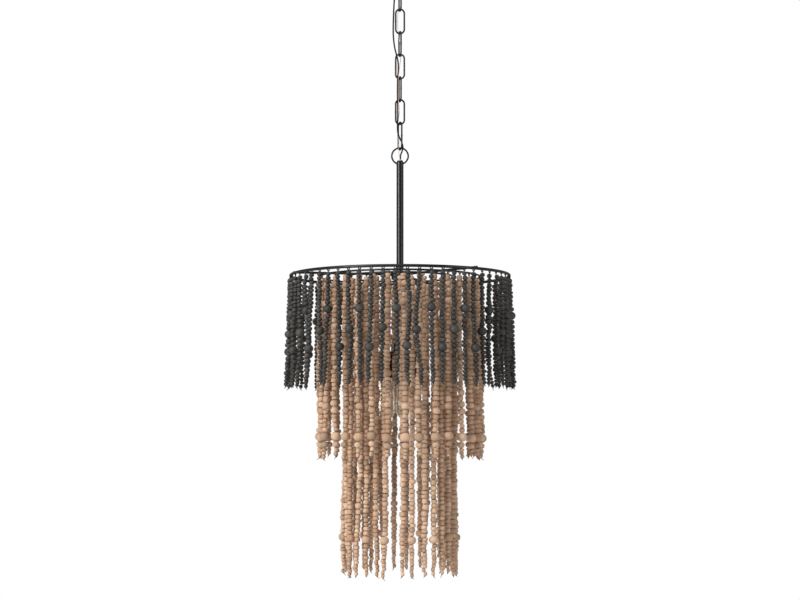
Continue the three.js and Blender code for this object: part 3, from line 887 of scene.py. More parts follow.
def chain_link(length, width, wire, bend_steps, wire_sides):
    """An oval link standing in the XZ plane, with the weld's swelling half way up one side."""
    bm = bmesh.new()
    end_radius, straight = (width - wire) / 2, length - width
    weld_reach, weld_swell = 1.6 * MM, 1.14
    section = bmesh.ops.create_circle(bm, segments=wire_sides, radius=wire / 2)["verts"]
    bmesh.ops.translate(bm, verts=section, vec=(end_radius, 0, straight / 2))
    edges = bm.edges[:]

    def bend(edges, level, angle):
        verts = list({vert for edge in edges for vert in edge.verts})
        last = bmesh.ops.spin(
            bm, geom=verts + edges, cent=(0, 0, level), axis=(0, 1, 0), angle=angle, steps=bend_steps,
        )["geom_last"]
        return of_kind(last, bmesh.types.BMEdge)

    def draw(edges, rise, swell=1.0):
        verts, edges = drawn_on(bm, edges)
        bmesh.ops.translate(bm, verts=verts, vec=(0, 0, rise))
        middle = sum((vert.co for vert in verts), Vector()) / len(verts)
        for vert in verts:
            vert.co = middle + (vert.co - middle) * swell
        return edges

    edges = bend(edges, straight / 2, -math.pi)
    to_weld = straight / 2 - weld_reach
    edges = draw(edges, -to_weld)
    edges = draw(edges, -weld_reach / 2, weld_swell)
    edges = draw(edges, -weld_reach)
    edges = draw(edges, -weld_reach / 2, 1 / weld_swell)
    edges = draw(edges, -to_weld)
    edges = bend(edges, -straight / 2, -math.pi)
    draw(edges, straight)
    return close_up(bm)


class CHANDELIER_OT_chain(bpy.types.Operator):
    """Bends the collar's loop and the chain's welded links"""
    bl_idname = "chandelier.chain"
    bl_label = "Chain"

    def execute(self, context):
        settings = context.scene.chandelier_metal
        collar = collar_and_loop(settings.turn_steps, settings.wire_sides)
        black_piece(collar, "collar_with_loop", "ceiling", ["collar_loop"])
        for node in LINKS:
            length = extent(node).z
            link = chain_link(length, LINK_WIDTH, LINK_WIRE, settings.bend_steps, settings.wire_sides)
            turned = Matrix.Rotation(math.radians(LINK_TURNS.get(node, 0)), 4, "Z")
            hung = placed(link, Matrix.Translation(centre(node)) @ turned)
            body = node.replace("chain_", "")
            black_piece(hung, f"oval_{body}", body, [node])
        return {"FINISHED"}


def stem_tube(steps):
    """A tube whose top is spun into a low dome with an open mouth."""
    low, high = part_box("stem")
    outer, bore, mouth = extent("stem").x / 2, 6 * MM, 4.2 * MM
    dome, shoulder, wall, chamfer = 5 * MM, 5.2 * MM, 1.3 * MM, 0.4 * MM
    outside = arc((shoulder, high.z - dome), (outer - shoulder, dome), 0, 90, 10)
    inside = arc((mouth, high.z - dome), (bore - mouth, dome - wall), 90, 0, 8)
    profile = [
        (outer - chamfer, low.z), (outer, low.z + chamfer), *outside, (mouth, high.z), *inside,
        (bore, low.z), (outer - chamfer, low.z),
    ]
    return turn(profile, steps)


def drill(target, start, end, diameter):
    """Cuts a straight hole through a piece and keeps the result in its mesh."""
    cutter = bpy.data.objects.new("drill", bpy.data.meshes.new("drill"))
    bm = rod(start, end, diameter, 24)
    bm.to_mesh(cutter.data)
    bm.free()
    bpy.context.scene.collection.objects.link(cutter)
    hole = target.modifiers.new("hole", "BOOLEAN")
    hole.operation = "DIFFERENCE"
    hole.object = cutter
    bpy.context.view_layer.update()
    cut = bpy.data.meshes.new_from_object(target.evaluated_get(bpy.context.evaluated_depsgraph_get()))
    target.modifiers.clear()
    old, name = target.data, target.data.name
    target.data = cut
    bpy.data.meshes.remove(old)
    cut.name = name
    bpy.data.objects.remove(cutter)


class CHANDELIER_OT_stem(bpy.types.Operator):
    """Spins the stem with its cross hole, and makes the ring, bushing and hub on it"""
    bl_idname = "chandelier.stem"
    bl_label = "Stem"

    def execute(self, context):
        settings = context.scene.chandelier_metal
        steps = settings.turn_steps
        hole, hole_height, wire = 4.9 * MM, 3.4 * MM, 3.5 * MM
        tube = black_piece(stem_tube(steps), "stem_tube", "fixture", ["stem"])
        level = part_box("stem_ring")[0].z + hole_height
        reach = extent("stem").x
        drill(tube, (-reach, 0, level), (reach, 0, level), hole)
        tube.data.set_sharp_from_angle(angle=SHARP_ANGLE)

        ring = wire_loop(extent("stem_ring").x / 2 - wire / 2, wire, 72, settings.wire_sides)
        standing = Matrix.Translation(centre("stem_ring")) @ UPRIGHT
        black_piece(placed(ring, standing), "ring_in_stem", "fixture", ["stem_ring"])
        self.bushing(steps)
        self.hub(steps)
        return {"FINISHED"}

    def bushing(self, steps):
        """A rolled lip on the stem's mouth, with a sleeve inside it."""
        low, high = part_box("cord_bushing")
        outer, bore, lip = extent("cord_bushing").x / 2, 3.8 * MM, 0.6 * MM
        collar, depth = 4.05 * MM, 3.5 * MM
        profile = [
            (bore, high.z - lip), *arc((bore + lip, high.z - lip), (lip, lip), 180, 90, 4),
            *arc((outer - lip, high.z - lip), (lip, lip), 90, 0, 4), (outer, low.z), (collar, low.z),
            (collar, low.z - depth), (bore, low.z - depth), (bore, high.z - lip),
        ]
        pale, worn = (0.66, 0.6, 0.5), (0.5, 0.42, 0.32)
        plastic = coated("Pale plastic", pale, worn, roughness=0.35, wear=0.4, bump=0.05)
        bm = turn(profile, steps)
        piece(bm, "mouth_bushing", plastic, "fixture", ["cord_bushing"])

    def hub(self, steps):
        """A turned boss with chamfered, softened edges, and two set screws."""
        low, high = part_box("hub")
        outer, bore, chamfer = extent("hub").x / 2, 7.6 * MM, 2 * MM
        profile = [
            (bore, high.z), (outer - chamfer, high.z), (outer, high.z - chamfer),
            (outer, low.z + chamfer), (outer - chamfer, low.z), (bore, low.z), (bore, high.z),
        ]
        parts = [soften(turn(profile, steps), 0.5 * MM)]
        screw, sunk, proud = 4 * MM, 0.8 * MM, 0.7 * MM
        for angle in SET_SCREW_ANGLES:
            turned = Matrix.Rotation(math.radians(angle), 4, "Z")
            start = turned @ Vector((outer - sunk, 0, centre("hub").z))
            end = turned @ Vector((outer + proud, 0, centre("hub").z))
            parts.append(rod(start, end, screw, 16, 0.3 * MM))
        black_piece(merged(parts), "spoke_hub", "fixture", ["hub"])


# Rings, spokes and eyelets. An eyelet hangs below its ring's rod by its reach, and the first bead
# hangs below the eyelet by the gap.

RING_STEPS = 144
EYELET_REACH = 4.4 * MM
BEAD_GAP = 0.8 * MM


def strand_places(name):
    """The angle and place of each strand under its ring, in order round the ring."""
    tier = TIERS[name]
    places = []
    for i in range(tier["strands"]):
        angle = math.radians(tier["first_angle"] + 360 / tier["strands"] * i)
        places.append((angle, outward(angle) * tier["strand_radius"] * MM))
    return places


def eyelets(name, settings):
    """A small loop of wire welded under the ring for each strand, open towards the outside."""
    radius = (settings.eyelet - settings.eyelet_wire) / 2
    level = centre(tier_ring(name)).z - ring_rod(name) / 2 - EYELET_REACH + settings.eyelet / 2
    loops = []
    for angle, place in strand_places(name):
        loop = wire_loop(radius, settings.eyelet_wire, 12, 6)
        facing = Matrix.Rotation(angle, 4, "Z") @ Matrix.Rotation(math.pi / 2, 4, "Y")
        loops.append(placed(loop, Matrix.Translation((place.x, place.y, level)) @ facing))
    return merged(loops)


class CHANDELIER_OT_rings(bpy.types.Operator):
    """Bends the three rings, sets the spokes and welds an eyelet for every strand"""
    bl_idname = "chandelier.rings"
    bl_label = "Rings"

    def execute(self, context):
        wire_sides = context.scene.chandelier_metal.wire_sides
        for name in TIERS:
            node = tier_ring(name)
            ring = wire_loop(ring_radius(name), ring_rod(name), RING_STEPS, wire_sides)
            place = Matrix.Translation((0, 0, centre(node).z))
            black_piece(placed(ring, place), f"{name}_rod_ring", "fixture", [node])
            black_piece(eyelets(name, context.scene.chandelier_beads), f"{name}_eyelets", "fixture")
        for node in [name for name in frame["nodes"] if name.startswith("spoke_")]:
            self.spoke(node, wire_sides)
        return {"FINISHED"}

    def spoke(self, node, wire_sides):
        """A rod from hub to outer ring, with a full weld at the hub and a thin one at the ring."""
        diameter, sunk, weld_length = 5 * MM, 0.5 * MM, 2.4
        hub_swell, ring_swell = 1.45, 1.1
        middle = centre(node)
        direction = Vector((middle.x, middle.y, 0)).normalized()
        level = Vector((0, 0, middle.z))
        start = direction * (extent("hub").x / 2 - sunk) + level
        end = direction * (ring_radius("outer") - ring_rod("outer") / 2 + sunk) + level
        parts = [rod(start, end, diameter, wire_sides)]
        for at, facing, swell in ((start, 1, hub_swell), (end, -1, ring_swell)):
            weld = rod(at, at + direction * facing * weld_length * MM, diameter * swell, wire_sides)
            parts.append(soften(weld, MM, 3))
        black_piece(merged(parts), f"welded_{node}", "fixture", [node])


# Lamps

FILAMENTS = 4
FILAMENT_SIZE, WIRE_SIZE, STALK_SIZE = 1.7 * MM, 0.5 * MM, 0.8 * MM

# How far the filaments end below the bulb's top and above its tip, and how many millimetres off the
# axis they stand at their tops and at their bottoms.

FILAMENT_TOP, FILAMENT_BOTTOM = 42 * MM, 22 * MM
FILAMENT_OFFSETS = (5, 8.5)


def socket_cup(steps):
    """A lamp holder: rounded shoulder, a ribbed skirt and a rolled lip, open below."""
    low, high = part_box("socket_1")
    outer, cup, cup_depth = extent("socket_1").x / 2, 13.3 * MM, 26 * MM
    shoulder, rib, lip = 3 * MM, 0.7 * MM, 1.1 * MM
    first_rib, rib_pitch, ribs = 12 * MM, 4 * MM, 4
    middle = (outer - shoulder, high.z - shoulder)
    profile = [(0, high.z), *arc(middle, (shoulder - lip, shoulder), 90, 0, 6)]
    skirt = outer - lip
    for i in range(ribs):
        level = high.z - first_rib - rib_pitch * i
        profile += [(skirt, level + rib), (skirt - rib, level), (skirt, level - rib)]
    profile += [
        (skirt, low.z + 2 * lip), *arc((outer - lip, low.z + lip), (lip, lip), 90, -90, 8), (cup, low.z),
        (cup, low.z + cup_depth), (0, low.z + cup_depth),
    ]
    return turn(profile, steps)


def bulb_envelope(steps):
    """The glass: a neck that swells to a tube with a round end, as a closed wall."""
    low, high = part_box("bulb_1")
    belly, neck, wall = extent("bulb_1").x / 2, 13 * MM, 0.8 * MM
    neck_top, neck_bottom = high.z - 2 * MM, high.z - 24 * MM
    waist = neck_bottom - belly

    def skin(inset):
        side = belly - inset
        points = [(neck - inset, neck_top), (neck - inset, neck_bottom)]
        for share in (0.25, 0.5, 0.75):
            ease = share * share * (3 - 2 * share)
            width = neck - inset + (belly - neck) * ease
            points.append((width, neck_bottom + (waist - neck_bottom) * share))
        return points + arc((0, low.z + belly), (side, side), 0, -90, 12)

    inner = list(reversed(skin(wall)))
    return turn([*skin(0), *inner, skin(0)[0]], steps)


def screw_shell(steps):
    """The bulb's brass screw base and its contact."""
    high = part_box("bulb_1")[1].z
    radius, pitch, depth, turns = 12.6 * MM, 3.5 * MM, 0.8 * MM, 5
    contact, insulator, lip = 4 * MM, 6 * MM, 0.6 * MM
    profile = [
        (0, high - MM), (contact, high - MM), (insulator, high - 2.4 * MM),
        (radius - 2 * MM, high - 3.4 * MM),
    ]
    top = high - 4 * MM
    for i in range(turns):
        start = top - pitch * i
        profile += [(radius - depth, start), (radius, start - pitch / 2)]
    bottom = top - pitch * turns
    profile += [(radius - depth, bottom), (radius - depth - lip, bottom), (0, bottom + 2 * MM)]
    return turn(profile, steps)


def filament_places():
    """The filaments' top and bottom levels and the directions in which they stand off the axis."""
    low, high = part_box("bulb_1")
    directions = [outward(math.radians(45 + 360 / FILAMENTS * i)) for i in range(FILAMENTS)]
    return high.z - FILAMENT_TOP, low.z + FILAMENT_BOTTOM, directions


def filament_set():
    """Four upright filaments, wider apart at the bottom."""
    top, bottom, directions = filament_places()
    parts = []
    for direction in directions:
        start = direction * FILAMENT_OFFSETS[0] * MM + Vector((0, 0, top))
        end = direction * FILAMENT_OFFSETS[1] * MM + Vector((0, 0, bottom))
        parts.append(rod(start, end, FILAMENT_SIZE, 8, 0.3 * MM))
    return merged(parts)


def filament_mount():
    """The stalk with its flare, and the fine wires that carry the filaments."""
    top, bottom, directions = filament_places()
    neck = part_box("bulb_1")[1].z - 22 * MM
    flare = [
        (0, neck), (7 * MM, neck), (3 * MM, neck - 9 * MM), (2 * MM, top - 3 * MM), (0, top - 4 * MM),
    ]
    parts = [turn(flare, 20), rod((0, 0, top), (0, 0, bottom - 3 * MM), STALK_SIZE, 8)]
    for direction in directions:
        for level, offset in zip((top, bottom), FILAMENT_OFFSETS):
            end = direction * (offset * MM) + Vector((0, 0, level))
            parts.append(rod((0, 0, level), end, WIRE_SIZE, 6))
    return merged(parts)


class CHANDELIER_OT_lamps(bpy.types.Operator):
    """Makes the socket plate, its three lamp holders with their bulbs, and the finial"""
    bl_idname = "chandelier.lamps"
    bl_label = "Lamps"

    def execute(self, context):
        steps = context.scene.chandelier_metal.turn_steps
        self.plate(steps)
        glass, phosphor = bulb_glass(), filament_phosphor()
        bright, dull = (0.5, 0.48, 0.45), (0.3, 0.28, 0.25)
        wire = coated("Filament wire", bright, dull, roughness=0.3, metallic=1.0)
        first = centre("bulb_1")
        coarse = steps // 2
        for number in (1, 2, 3):
            to_bulb = Matrix.Translation(centre(f"bulb_{number}") - first)
            place = to_bulb @ Matrix.Translation((first.x, first.y, 0))
            node, socket = f"bulb_{number}", f"socket_{number}"
            black_piece(placed(socket_cup(coarse), place), f"lamp_holder_{number}", "fixture", [socket])
            shell = placed(bulb_envelope(coarse), place)
            piece(shell, f"bulb_envelope_{number}", glass, "fixture", [node])
            base = placed(screw_shell(coarse), place)
            piece(base, f"screw_shell_{number}", brass(), "fixture")
            filaments = placed(filament_set(), place)
            piece(filaments, f"filaments_{number}", phosphor, "fixture")
            mount = placed(filament_mount(), place)
            piece(mount, f"filament_mount_{number}", wire, "fixture")
        self.finial(steps)
        return {"FINISHED"}

    def plate(self, steps):
        """A disc with a rolled edge and a neck that screws onto the stem's foot."""
        low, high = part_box("socket_plate")
        rim, neck, seat, stud = extent("socket_plate").x / 2, 13 * MM, 7.6 * MM, 3.5 * MM
        thickness, edge, fillet, chamfer, slack = 3 * MM, 1.5 * MM, 2.5 * MM, 1.5 * MM, 0.3 * MM
        top = low.z + thickness
        seat_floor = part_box("stem")[0].z - slack
        profile = [
            (stud, low.z), *arc((rim - edge, low.z + edge), (edge, edge), -90, 90, 8),
            *arc((neck + fillet, top + fillet), (fillet, fillet), -90, -180, 6),
            (neck, high.z - chamfer), (neck - chamfer, high.z), (seat, high.z), (seat, seat_floor),
            (stud, seat_floor), (stud, low.z),
        ]
        black_piece(turn(profile, steps), "lamp_plate", "fixture", ["socket_plate"])

    def finial(self, steps):
        """A small turned knob under the plate, on its stud."""
        low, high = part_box("finial")
        wide, stud, height = 8 * MM, 3.2 * MM, 22 * MM
        waist, knob, foot = wide * 0.55, wide * 0.42, wide * 0.3
        tip, tip_height = wide * 0.28, 1.6 * MM
        top = low.z + height
        profile = [
            (0, high.z), (stud, high.z), (stud, top), (wide, top), (wide, top - 2.4 * MM),
            (waist, top - 5.2 * MM), *arc((knob, top - 12 * MM), (knob, 6 * MM), 70, -70, 12),
            (foot, low.z + 2 * MM), *arc((0, low.z + tip_height), (tip, tip_height), 0, -90, 5),
        ]
        black_piece(turn(profile, steps), "turned_finial", "fixture", ["finial"])


# Beads

BALL = [(0, 0.86), (0.24, 0.97), (0.5, 0.87), (0.71, 0.71), (0.87, 0.5), (0.97, 0.26), (1, 0)]
ROUND = [(0, 0.97), (0.42, 0.97), (0.72, 0.8), (0.93, 0.45), (1, 0)]
BARREL = [(0, 0.99), (0.66, 0.99), (0.86, 0.8), (0.97, 0.42), (1, 0)]
SHAPES = {"black_beads": ROUND, "wood_beads": BARREL}

# How the strands differ by chance. Plain lengths are in millimetres. KNOT_TIP and END_SLANTS are in
# radians and WAVE_RATES are half turns along a strand. The rest are shares, and WAVES is a count.

END_TRIM = 2
PATTERN_SHIFT = 2.5
HEIGHT_SPREAD, WIDTH_SPREAD, ROW_WIDTH_SPREAD = 0.05, 0.04, 0.55
TAIL_PITCH, TAIL_SPREAD = 0.86, 0.12
WAVES = 3
WAVE_RATES = (0.6, 2.6)
SIDE_SWAY, OUT_SWAY, EDGE_SWAY = 0.55, 0.4, 0.3
EDGE_LEAN = 3.0
BEAD_LEAN = 0.08
BEAD_TONE, STRAND_TONE = 0.6, 0.4
KNOT_DROP, KNOT_TIP = 1.1, 0.6
KNOT_SIZE = (1.75 * MM, 1.55 * MM, 1.6 * MM)
END_SLANTS, END_REACHES = (0.35, 1.2), (3.5, 7.5)
END_LIMIT = 5


def bead_shape(profile, steps):
    """A turned bead of unit radius and unit half height. "pole" is how near a vertex is to an end."""
    mirrored = [(radius, -height) for radius, height in reversed(profile) if height]
    bm = turn([*profile, *mirrored], steps)
    bm.verts.layers.float_vector.new("bead")
    pole = bm.verts.layers.float.new("pole")
    for vert in bm.verts:
        vert[pole] = abs(vert.co.z)
    mesh = bpy.data.meshes.new("bead_shape")
    bm.to_mesh(mesh)
    bm.free()
    return mesh


def row_between(chance, top, bottom, size, spread):
    """Small beads that fill a stretch of the strand, as (depth, diameter, height)."""
    diameter, pitch = size
    count = max(1, round((bottom - top) / pitch))
    shares = [1 + spread * chance.uniform(-1, 1) for _ in range(count)]
    unit = (bottom - top) / sum(shares)
    beads, depth = [], top
    for share in shares:
        height = unit * share
        width = diameter * (1 + ROW_WIDTH_SPREAD * spread * chance.uniform(-1, 1))
        beads.append((depth + height / 2, width, height))
        depth += height
    return beads


def bead_row(chance, tier, pattern, start):
    """Every bead of one strand from its thread down to its knot, as (depth, diameter, height)."""
    row, row_spread = tier["row"], tier["row_spread"]
    length = tier["length"] - END_TRIM + tier["length_spread"] * chance.uniform(-1, 0.6)
    tail_pitch = row[1] * TAIL_PITCH
    tail_top = length - tail_pitch * tier["end_row"]
    beads, depth = [], start
    for middle, diameter, height in pattern:
        middle += PATTERN_SHIFT * chance.uniform(-1, 1)
        height *= 1 + HEIGHT_SPREAD * chance.uniform(-1, 1)
        top = max(middle - height / 2, depth)
        if top - depth > row[1] / 2:
            beads += row_between(chance, depth, top, row, row_spread)
            depth = top
        width = diameter * (1 + WIDTH_SPREAD * chance.uniform(-1, 1))
        beads.append((depth + height / 2, width, height))
        depth += height
    if tail_top - depth > row[1] / 2:
        beads += row_between(chance, depth, tail_top, row, row_spread)
        depth = tail_top
    tail = row_between(chance, depth, length, (row[0], tail_pitch), TAIL_SPREAD)
    for i, (middle, diameter, height) in enumerate(tail):
        share = (i + 1) / len(tail)
        beads.append((middle, diameter + (tier["end_diameter"] - diameter) * share, height))
    return beads, length


class Hang:
    """Where a strand's thread runs: straight down, with a slow sway that grows towards its end.

    A group's first and last strands, edge 1 and -1, sway less and lean away from the next group."""

    def __init__(self, chance, tier, angle, place, edge):
        self.place = place
        self.edge = edge
        self.outwards = outward(angle)
        self.along_ring = Vector((-math.sin(angle), math.cos(angle), 0))
        self.length = tier["length"]
        self.waves = []
        for _ in range(WAVES):
            reach = tier["sway"] * chance.uniform(-1, 1)
            self.waves.append((reach, chance.uniform(*WAVE_RATES), chance.uniform(0, math.tau)))
        self.side_waves = [(0.7 * reach, rate * 1.3, phase + 1.7) for reach, rate, phase in self.waves]
        self.flare = chance.uniform(*tier["flare"])

    def offset(self, waves, share):
        return sum(
            reach * (math.sin(rate * math.pi * share + phase) - math.sin(phase))
            for reach, rate, phase in waves
        )

    def at(self, depth):
        """The thread's point at a depth in millimetres below the rings' plane."""
        share = depth / self.length
        side = self.offset(self.waves, share) * SIDE_SWAY * share ** 0.5
        if self.edge:
            side = EDGE_SWAY * side + self.edge * EDGE_LEAN * share
        out = self.offset(self.side_waves, share) * OUT_SWAY * share ** 0.5 + self.flare * share ** 3
        level = Vector((0, 0, RING_PLANE - depth * MM))
        return self.place + level + (self.along_ring * side + self.outwards * out) * MM


class StrandMaker:
    """Puts beads, threads and knots of one group of strands into two meshes."""

    def __init__(self, settings, chance, small, large):
        self.settings = settings
        self.chance = chance
        self.small = small
        self.large = large
        self.beads = bmesh.new()
        self.step = bpy.data.meshes.new("step")
        self.threads = []

    def bead(self, hang, size, wobble, strand_tone):
        """One bead on its thread, a little beside it and leaning, with a tone of its own."""
        depth, diameter, height = size
        chance = self.chance
        bm = bmesh.new()
        bm.from_mesh(self.large if diameter * MM >= self.settings.large_from else self.small)
        own = bm.verts.layers.float_vector["bead"]
        darkness = BEAD_TONE * chance.random() + STRAND_TONE * strand_tone
        tone = (darkness, chance.random(), chance.random())
        for vert in bm.verts:
            vert[own] = tone
        down = hang.at(depth + 3) - hang.at(depth - 3)
        lean = Vector((chance.gauss(0, BEAD_LEAN), chance.gauss(0, BEAD_LEAN), 0))
        turned = (-down.normalized() + lean).to_track_quat("Z", "Y").to_matrix().to_4x4()
        half = (diameter * MM / 2, diameter * MM / 2, height * MM / 2)
        spin = Matrix.Rotation(chance.uniform(0, math.tau), 4, "Z")
        beside = Vector((chance.gauss(0, wobble), chance.gauss(0, wobble), 0)) * MM
        place = Matrix.Translation(hang.at(depth) + beside)
        placed(bm, place @ turned @ Matrix.Diagonal((*half, 1)) @ spin)
        bm.to_mesh(self.step)
        bm.free()
        self.beads.from_mesh(self.step)

    def strand(self, tier, pattern, angle, place, edge, tie_depth, start):
        """One strand, tied at one depth and with its first bead from another."""
        hang = Hang(self.chance, tier, angle, place, edge)
        beads, length = bead_row(self.chance, tier, pattern, start)
        strand_tone = self.chance.random()
        for size in beads:
            self.bead(hang, size, tier["wobble"], strand_tone)
        self.thread(hang, tie_depth, start, length)

    def thread(self, hang, tie_depth, start, length):
        """The doubled thread from the eyelet to the first bead, the knot and the cut end."""
        chance, thick = self.chance, self.settings.thread
        top, first = hang.at(tie_depth), hang.at(start + 1)
        self.threads.append(rod(top, first, thick * 1.5, 7))
        knot = hang.at(length + KNOT_DROP)
        lump = bmesh.new()
        bmesh.ops.create_icosphere(lump, subdivisions=2, radius=1.0)
        turned = Matrix.Rotation(chance.uniform(0, math.tau), 4, "Z")
        turned = turned @ Matrix.Rotation(chance.uniform(0, KNOT_TIP), 4, "X")
        squeezed = Matrix.Diagonal((*KNOT_SIZE, 1))
        self.threads.append(placed(lump, Matrix.Translation(knot) @ turned @ squeezed))
        bearing = chance.uniform(0, math.tau)
        slant = chance.uniform(*END_SLANTS)
        level = math.sin(slant)
        way = Vector((math.sin(bearing) * level, math.cos(bearing) * level, -math.cos(slant)))
        end = knot + way * (chance.uniform(*END_REACHES) * MM)
        end.z = max(end.z, RING_PLANE - (hang.length + END_LIMIT) * MM)
        self.threads.append(rod(knot, end, thick, 6, 0.2 * MM))


def strands_of(name, group):
    """The numbers of the strands in one group."""
    tier = TIERS[name]
    first = tier["strands"] * group // tier["groups"]
    return range(first, tier["strands"] * (group + 1) // tier["groups"])


class CHANDELIER_OT_strands(bpy.types.Operator):
    """Threads every bead of the three tiers, group by group"""
    bl_idname = "chandelier.strands"
    bl_label = "Strands"

    def execute(self, context):
        settings = context.scene.chandelier_beads
        large = bead_shape(BALL, settings.large_sides)
        small = {slot: bead_shape(profile, settings.sides) for slot, profile in SHAPES.items()}
        woods = {"black_beads": black_bead_wood(settings), "wood_beads": natural_bead_wood(settings)}
        threads_of = {
            "black_beads": waxed_thread("Dark thread", (0.02, 0.014, 0.011)),
            "wood_beads": waxed_thread("Tan thread", (0.2, 0.115, 0.065)),
        }
        for number, (name, tier) in enumerate(TIERS.items()):
            places = strand_places(name)
            slot = tier["slot"]
            eyelet_bottom = RING_PLANE - centre(tier_ring(name)).z + ring_rod(name) / 2 + EYELET_REACH
            tie_depth = (eyelet_bottom - settings.eyelet_wire) / MM
            start = (eyelet_bottom + BEAD_GAP) / MM
            for group in range(tier["groups"]):
                chance = random.Random(settings.seed + 1000 * number + group)
                maker = StrandMaker(settings, chance, small[slot], large)
                strands = strands_of(name, group)
                for strand in strands:
                    pattern = tier["patterns"][strand % len(tier["patterns"])]
                    angle, place = places[strand]
                    edge = (strand == strands[0]) - (strand == strands[-1])
                    maker.strand(tier, pattern, angle, place, edge, tie_depth, start)
                bpy.data.meshes.remove(maker.step)
                node = f"{name}_strands_{group + 1}"
                piece(maker.beads, f"{name}_beads_{group + 1}", woods[slot], node, [node])
                threads = merged(maker.threads)
                piece(threads, f"{name}_threads_{group + 1}", threads_of[slot], node)
        for shape in (large, *small.values()):
            bpy.data.meshes.remove(shape)
        return {"FINISHED"}


# Camera, floor, lamps and background

WHITE = (1, 1, 1, 1)
SKY_COLOUR = (0.97, 0.985, 1, 1)
FLOOR_RADIUS = 3.5
FADE_START, FADE_END = 1.9, 3.4


class CHANDELIER_OT_camera(bpy.types.Operator):
    """Sets the camera where the photograph was taken"""
    bl_idname = "chandelier.camera"
    bl_label = "Camera"

    def execute(self, context):
        settings = context.scene.chandelier_stage
        camera = bpy.data.cameras.new("camera")
        camera.sensor_width = SENSOR_WIDTH
        camera.lens = settings.focal_pixels / IMAGE_WIDTH * SENSOR_WIDTH
        camera.clip_end = 100
        made = bpy.data.objects.new("camera", camera)
        made.location = (0, -settings.distance, RING_PLANE - settings.below_rings)
        made.rotation_euler = (math.pi / 2 + settings.tilt, 0, 0)
        context.scene.collection.objects.link(made)
        context.scene.camera = made
        return {"FINISHED"}


def white_world(scene, strength, mirrored):
    """White where it is seen, even soft light where it falls on the object, dimmer in reflections."""
    world = bpy.data.worlds.new("studio")
    scene.world = world
    world.use_nodes = True
    tree = world.node_tree
    tree.nodes.clear()
    path = add_node(tree, "ShaderNodeLightPath")
    lights = []
    for colour, power in ((SKY_COLOUR, strength), (WHITE, mirrored), (WHITE, 1)):
        lights.append(add_node(tree, "ShaderNodeBackground", {"Color": colour, "Strength": power})[0])
    seen = maths(tree, "MAXIMUM", path["Is Camera Ray"], path["Is Transmission Ray"])
    falling = mixed_light(tree, path["Is Glossy Ray"], lights[0], lights[1])
    whole = mixed_light(tree, seen, falling, lights[2])
    add_node(tree, "ShaderNodeOutputWorld", {"Surface": whole})


def mixed_light(tree, share, light, other):
    return add_node(tree, "ShaderNodeMixShader", {"Fac": share, 1: light, 2: other})[0]


def pale_floor_material():
    """A pale floor that keeps the shadow on it and fades to the background's white."""
    material, tree, shader = new_material("Pale floor")
    pale = (0.86, 0.86, 0.86, 1)
    fill(tree, shader, {"Base Color": pale, "Roughness": 0.9, "Specular IOR Level": 0.1})
    distance = add_node(tree, "ShaderNodeVectorMath", {0: own_place(tree)}, operation="LENGTH")["Value"]
    fade = spread(tree, distance, FADE_START, FADE_END, interpolation="SMOOTHSTEP")
    white = add_node(tree, "ShaderNodeEmission")[0]
    mixed = mixed_light(tree, fade, shader.outputs[0], white)
    fill(tree, tree.nodes["Material Output"], {"Surface": mixed})
    return material


# Each lamp's name, place, width and height in metres, and power in watts.

SOFTBOXES = (
    ("left_softbox", (-3.0, -2.8, 0.5), (1.4, 2.2), 168),
    ("right_softbox", (3.4, -1.6, -0.2), (1.0, 2.4), 34),
    ("top_softbox", (-0.6, -1.8, 2.4), (2.0, 1.6), 36),
)


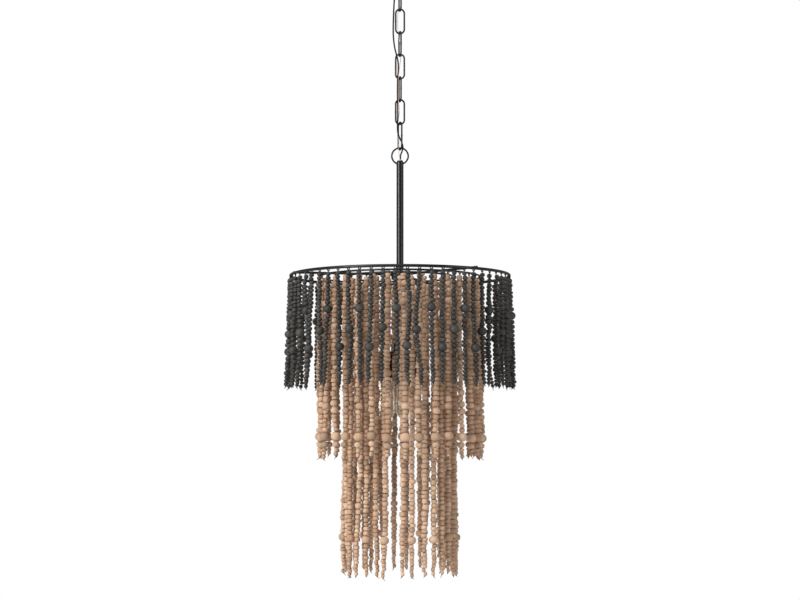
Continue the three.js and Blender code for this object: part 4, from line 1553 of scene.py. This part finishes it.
class CHANDELIER_OT_stage(bpy.types.Operator):
    """Lays the pale floor and sets the soft studio light"""
    bl_idname = "chandelier.stage"
    bl_label = "Stage"

    def execute(self, context):
        settings = context.scene.chandelier_stage
        scene = context.scene
        scene.view_settings.view_transform = "Standard"
        level = CAD_BOUNDS[0].z - settings.floor_drop
        bm = bmesh.new()
        bmesh.ops.create_circle(bm, cap_ends=True, segments=96, radius=FLOOR_RADIUS)
        bmesh.ops.translate(bm, verts=bm.verts, vec=(0, 0, level))
        mesh = bpy.data.meshes.new("pale_floor")
        bm.to_mesh(mesh)
        bm.free()
        mesh.materials.append(pale_floor_material())
        floor = bpy.data.objects.new("pale_floor", mesh)
        scene.collection.objects.link(floor)
        white_world(scene, settings.world_light, settings.mirrored_light)
        target = Vector((0, 0, (CAD_BOUNDS[0].z + RING_PLANE) / 2))
        for name, place, size, power in SOFTBOXES:
            light = bpy.data.lights.new(name, "AREA")
            light.shape = "RECTANGLE"
            light.size, light.size_y = size
            light.energy = power
            lamp = bpy.data.objects.new(name, light)
            lamp.location = place
            lamp.rotation_mode = "QUATERNION"
            lamp.rotation_quaternion = (target - Vector(place)).to_track_quat("-Z", "Y")
            scene.collection.objects.link(lamp)
        return {"FINISHED"}


class CHANDELIER_PT_pieces(bpy.types.Panel):
    """Lists the chandelier's operators and settings"""
    bl_idname = "CHANDELIER_PT_pieces"
    bl_label = "Beaded Chandelier"
    bl_space_type = "VIEW_3D"
    bl_region_type = "UI"
    bl_category = "Chandelier"

    def draw(self, context):
        layout = self.layout
        for operator in OPERATORS:
            layout.operator(operator.bl_idname)
        for group in SETTINGS:
            box = layout.box()
            for name in SETTINGS[group].__annotations__:
                box.prop(getattr(context.scene, group), name)


SETTINGS = {
    "chandelier_beads": BeadSettings,
    "chandelier_metal": MetalSettings,
    "chandelier_cords": CordSettings,
    "chandelier_stage": StageSettings,
}
OPERATORS = (
    CHANDELIER_OT_camera,
    CHANDELIER_OT_cords,
    CHANDELIER_OT_ceiling,
    CHANDELIER_OT_chain,
    CHANDELIER_OT_stem,
    CHANDELIER_OT_rings,
    CHANDELIER_OT_lamps,
    CHANDELIER_OT_strands,
    CHANDELIER_OT_stage,
)


def register():
    for group, settings in SETTINGS.items():
        bpy.utils.register_class(settings)
        setattr(bpy.types.Scene, group, PointerProperty(type=settings))
    for operator in OPERATORS:
        bpy.utils.register_class(operator)
    bpy.utils.register_class(CHANDELIER_PT_pieces)


def unregister():
    bpy.utils.unregister_class(CHANDELIER_PT_pieces)
    for operator in reversed(OPERATORS):
        bpy.utils.unregister_class(operator)
    for group, settings in SETTINGS.items():
        delattr(bpy.types.Scene, group)
        bpy.utils.unregister_class(settings)


def main():
    register()
    for name in ("camera", "cords", "ceiling", "chain", "stem", "rings", "lamps", "strands", "stage"):
        getattr(bpy.ops.chandelier, name)()


if __name__ == "__main__":
    main()
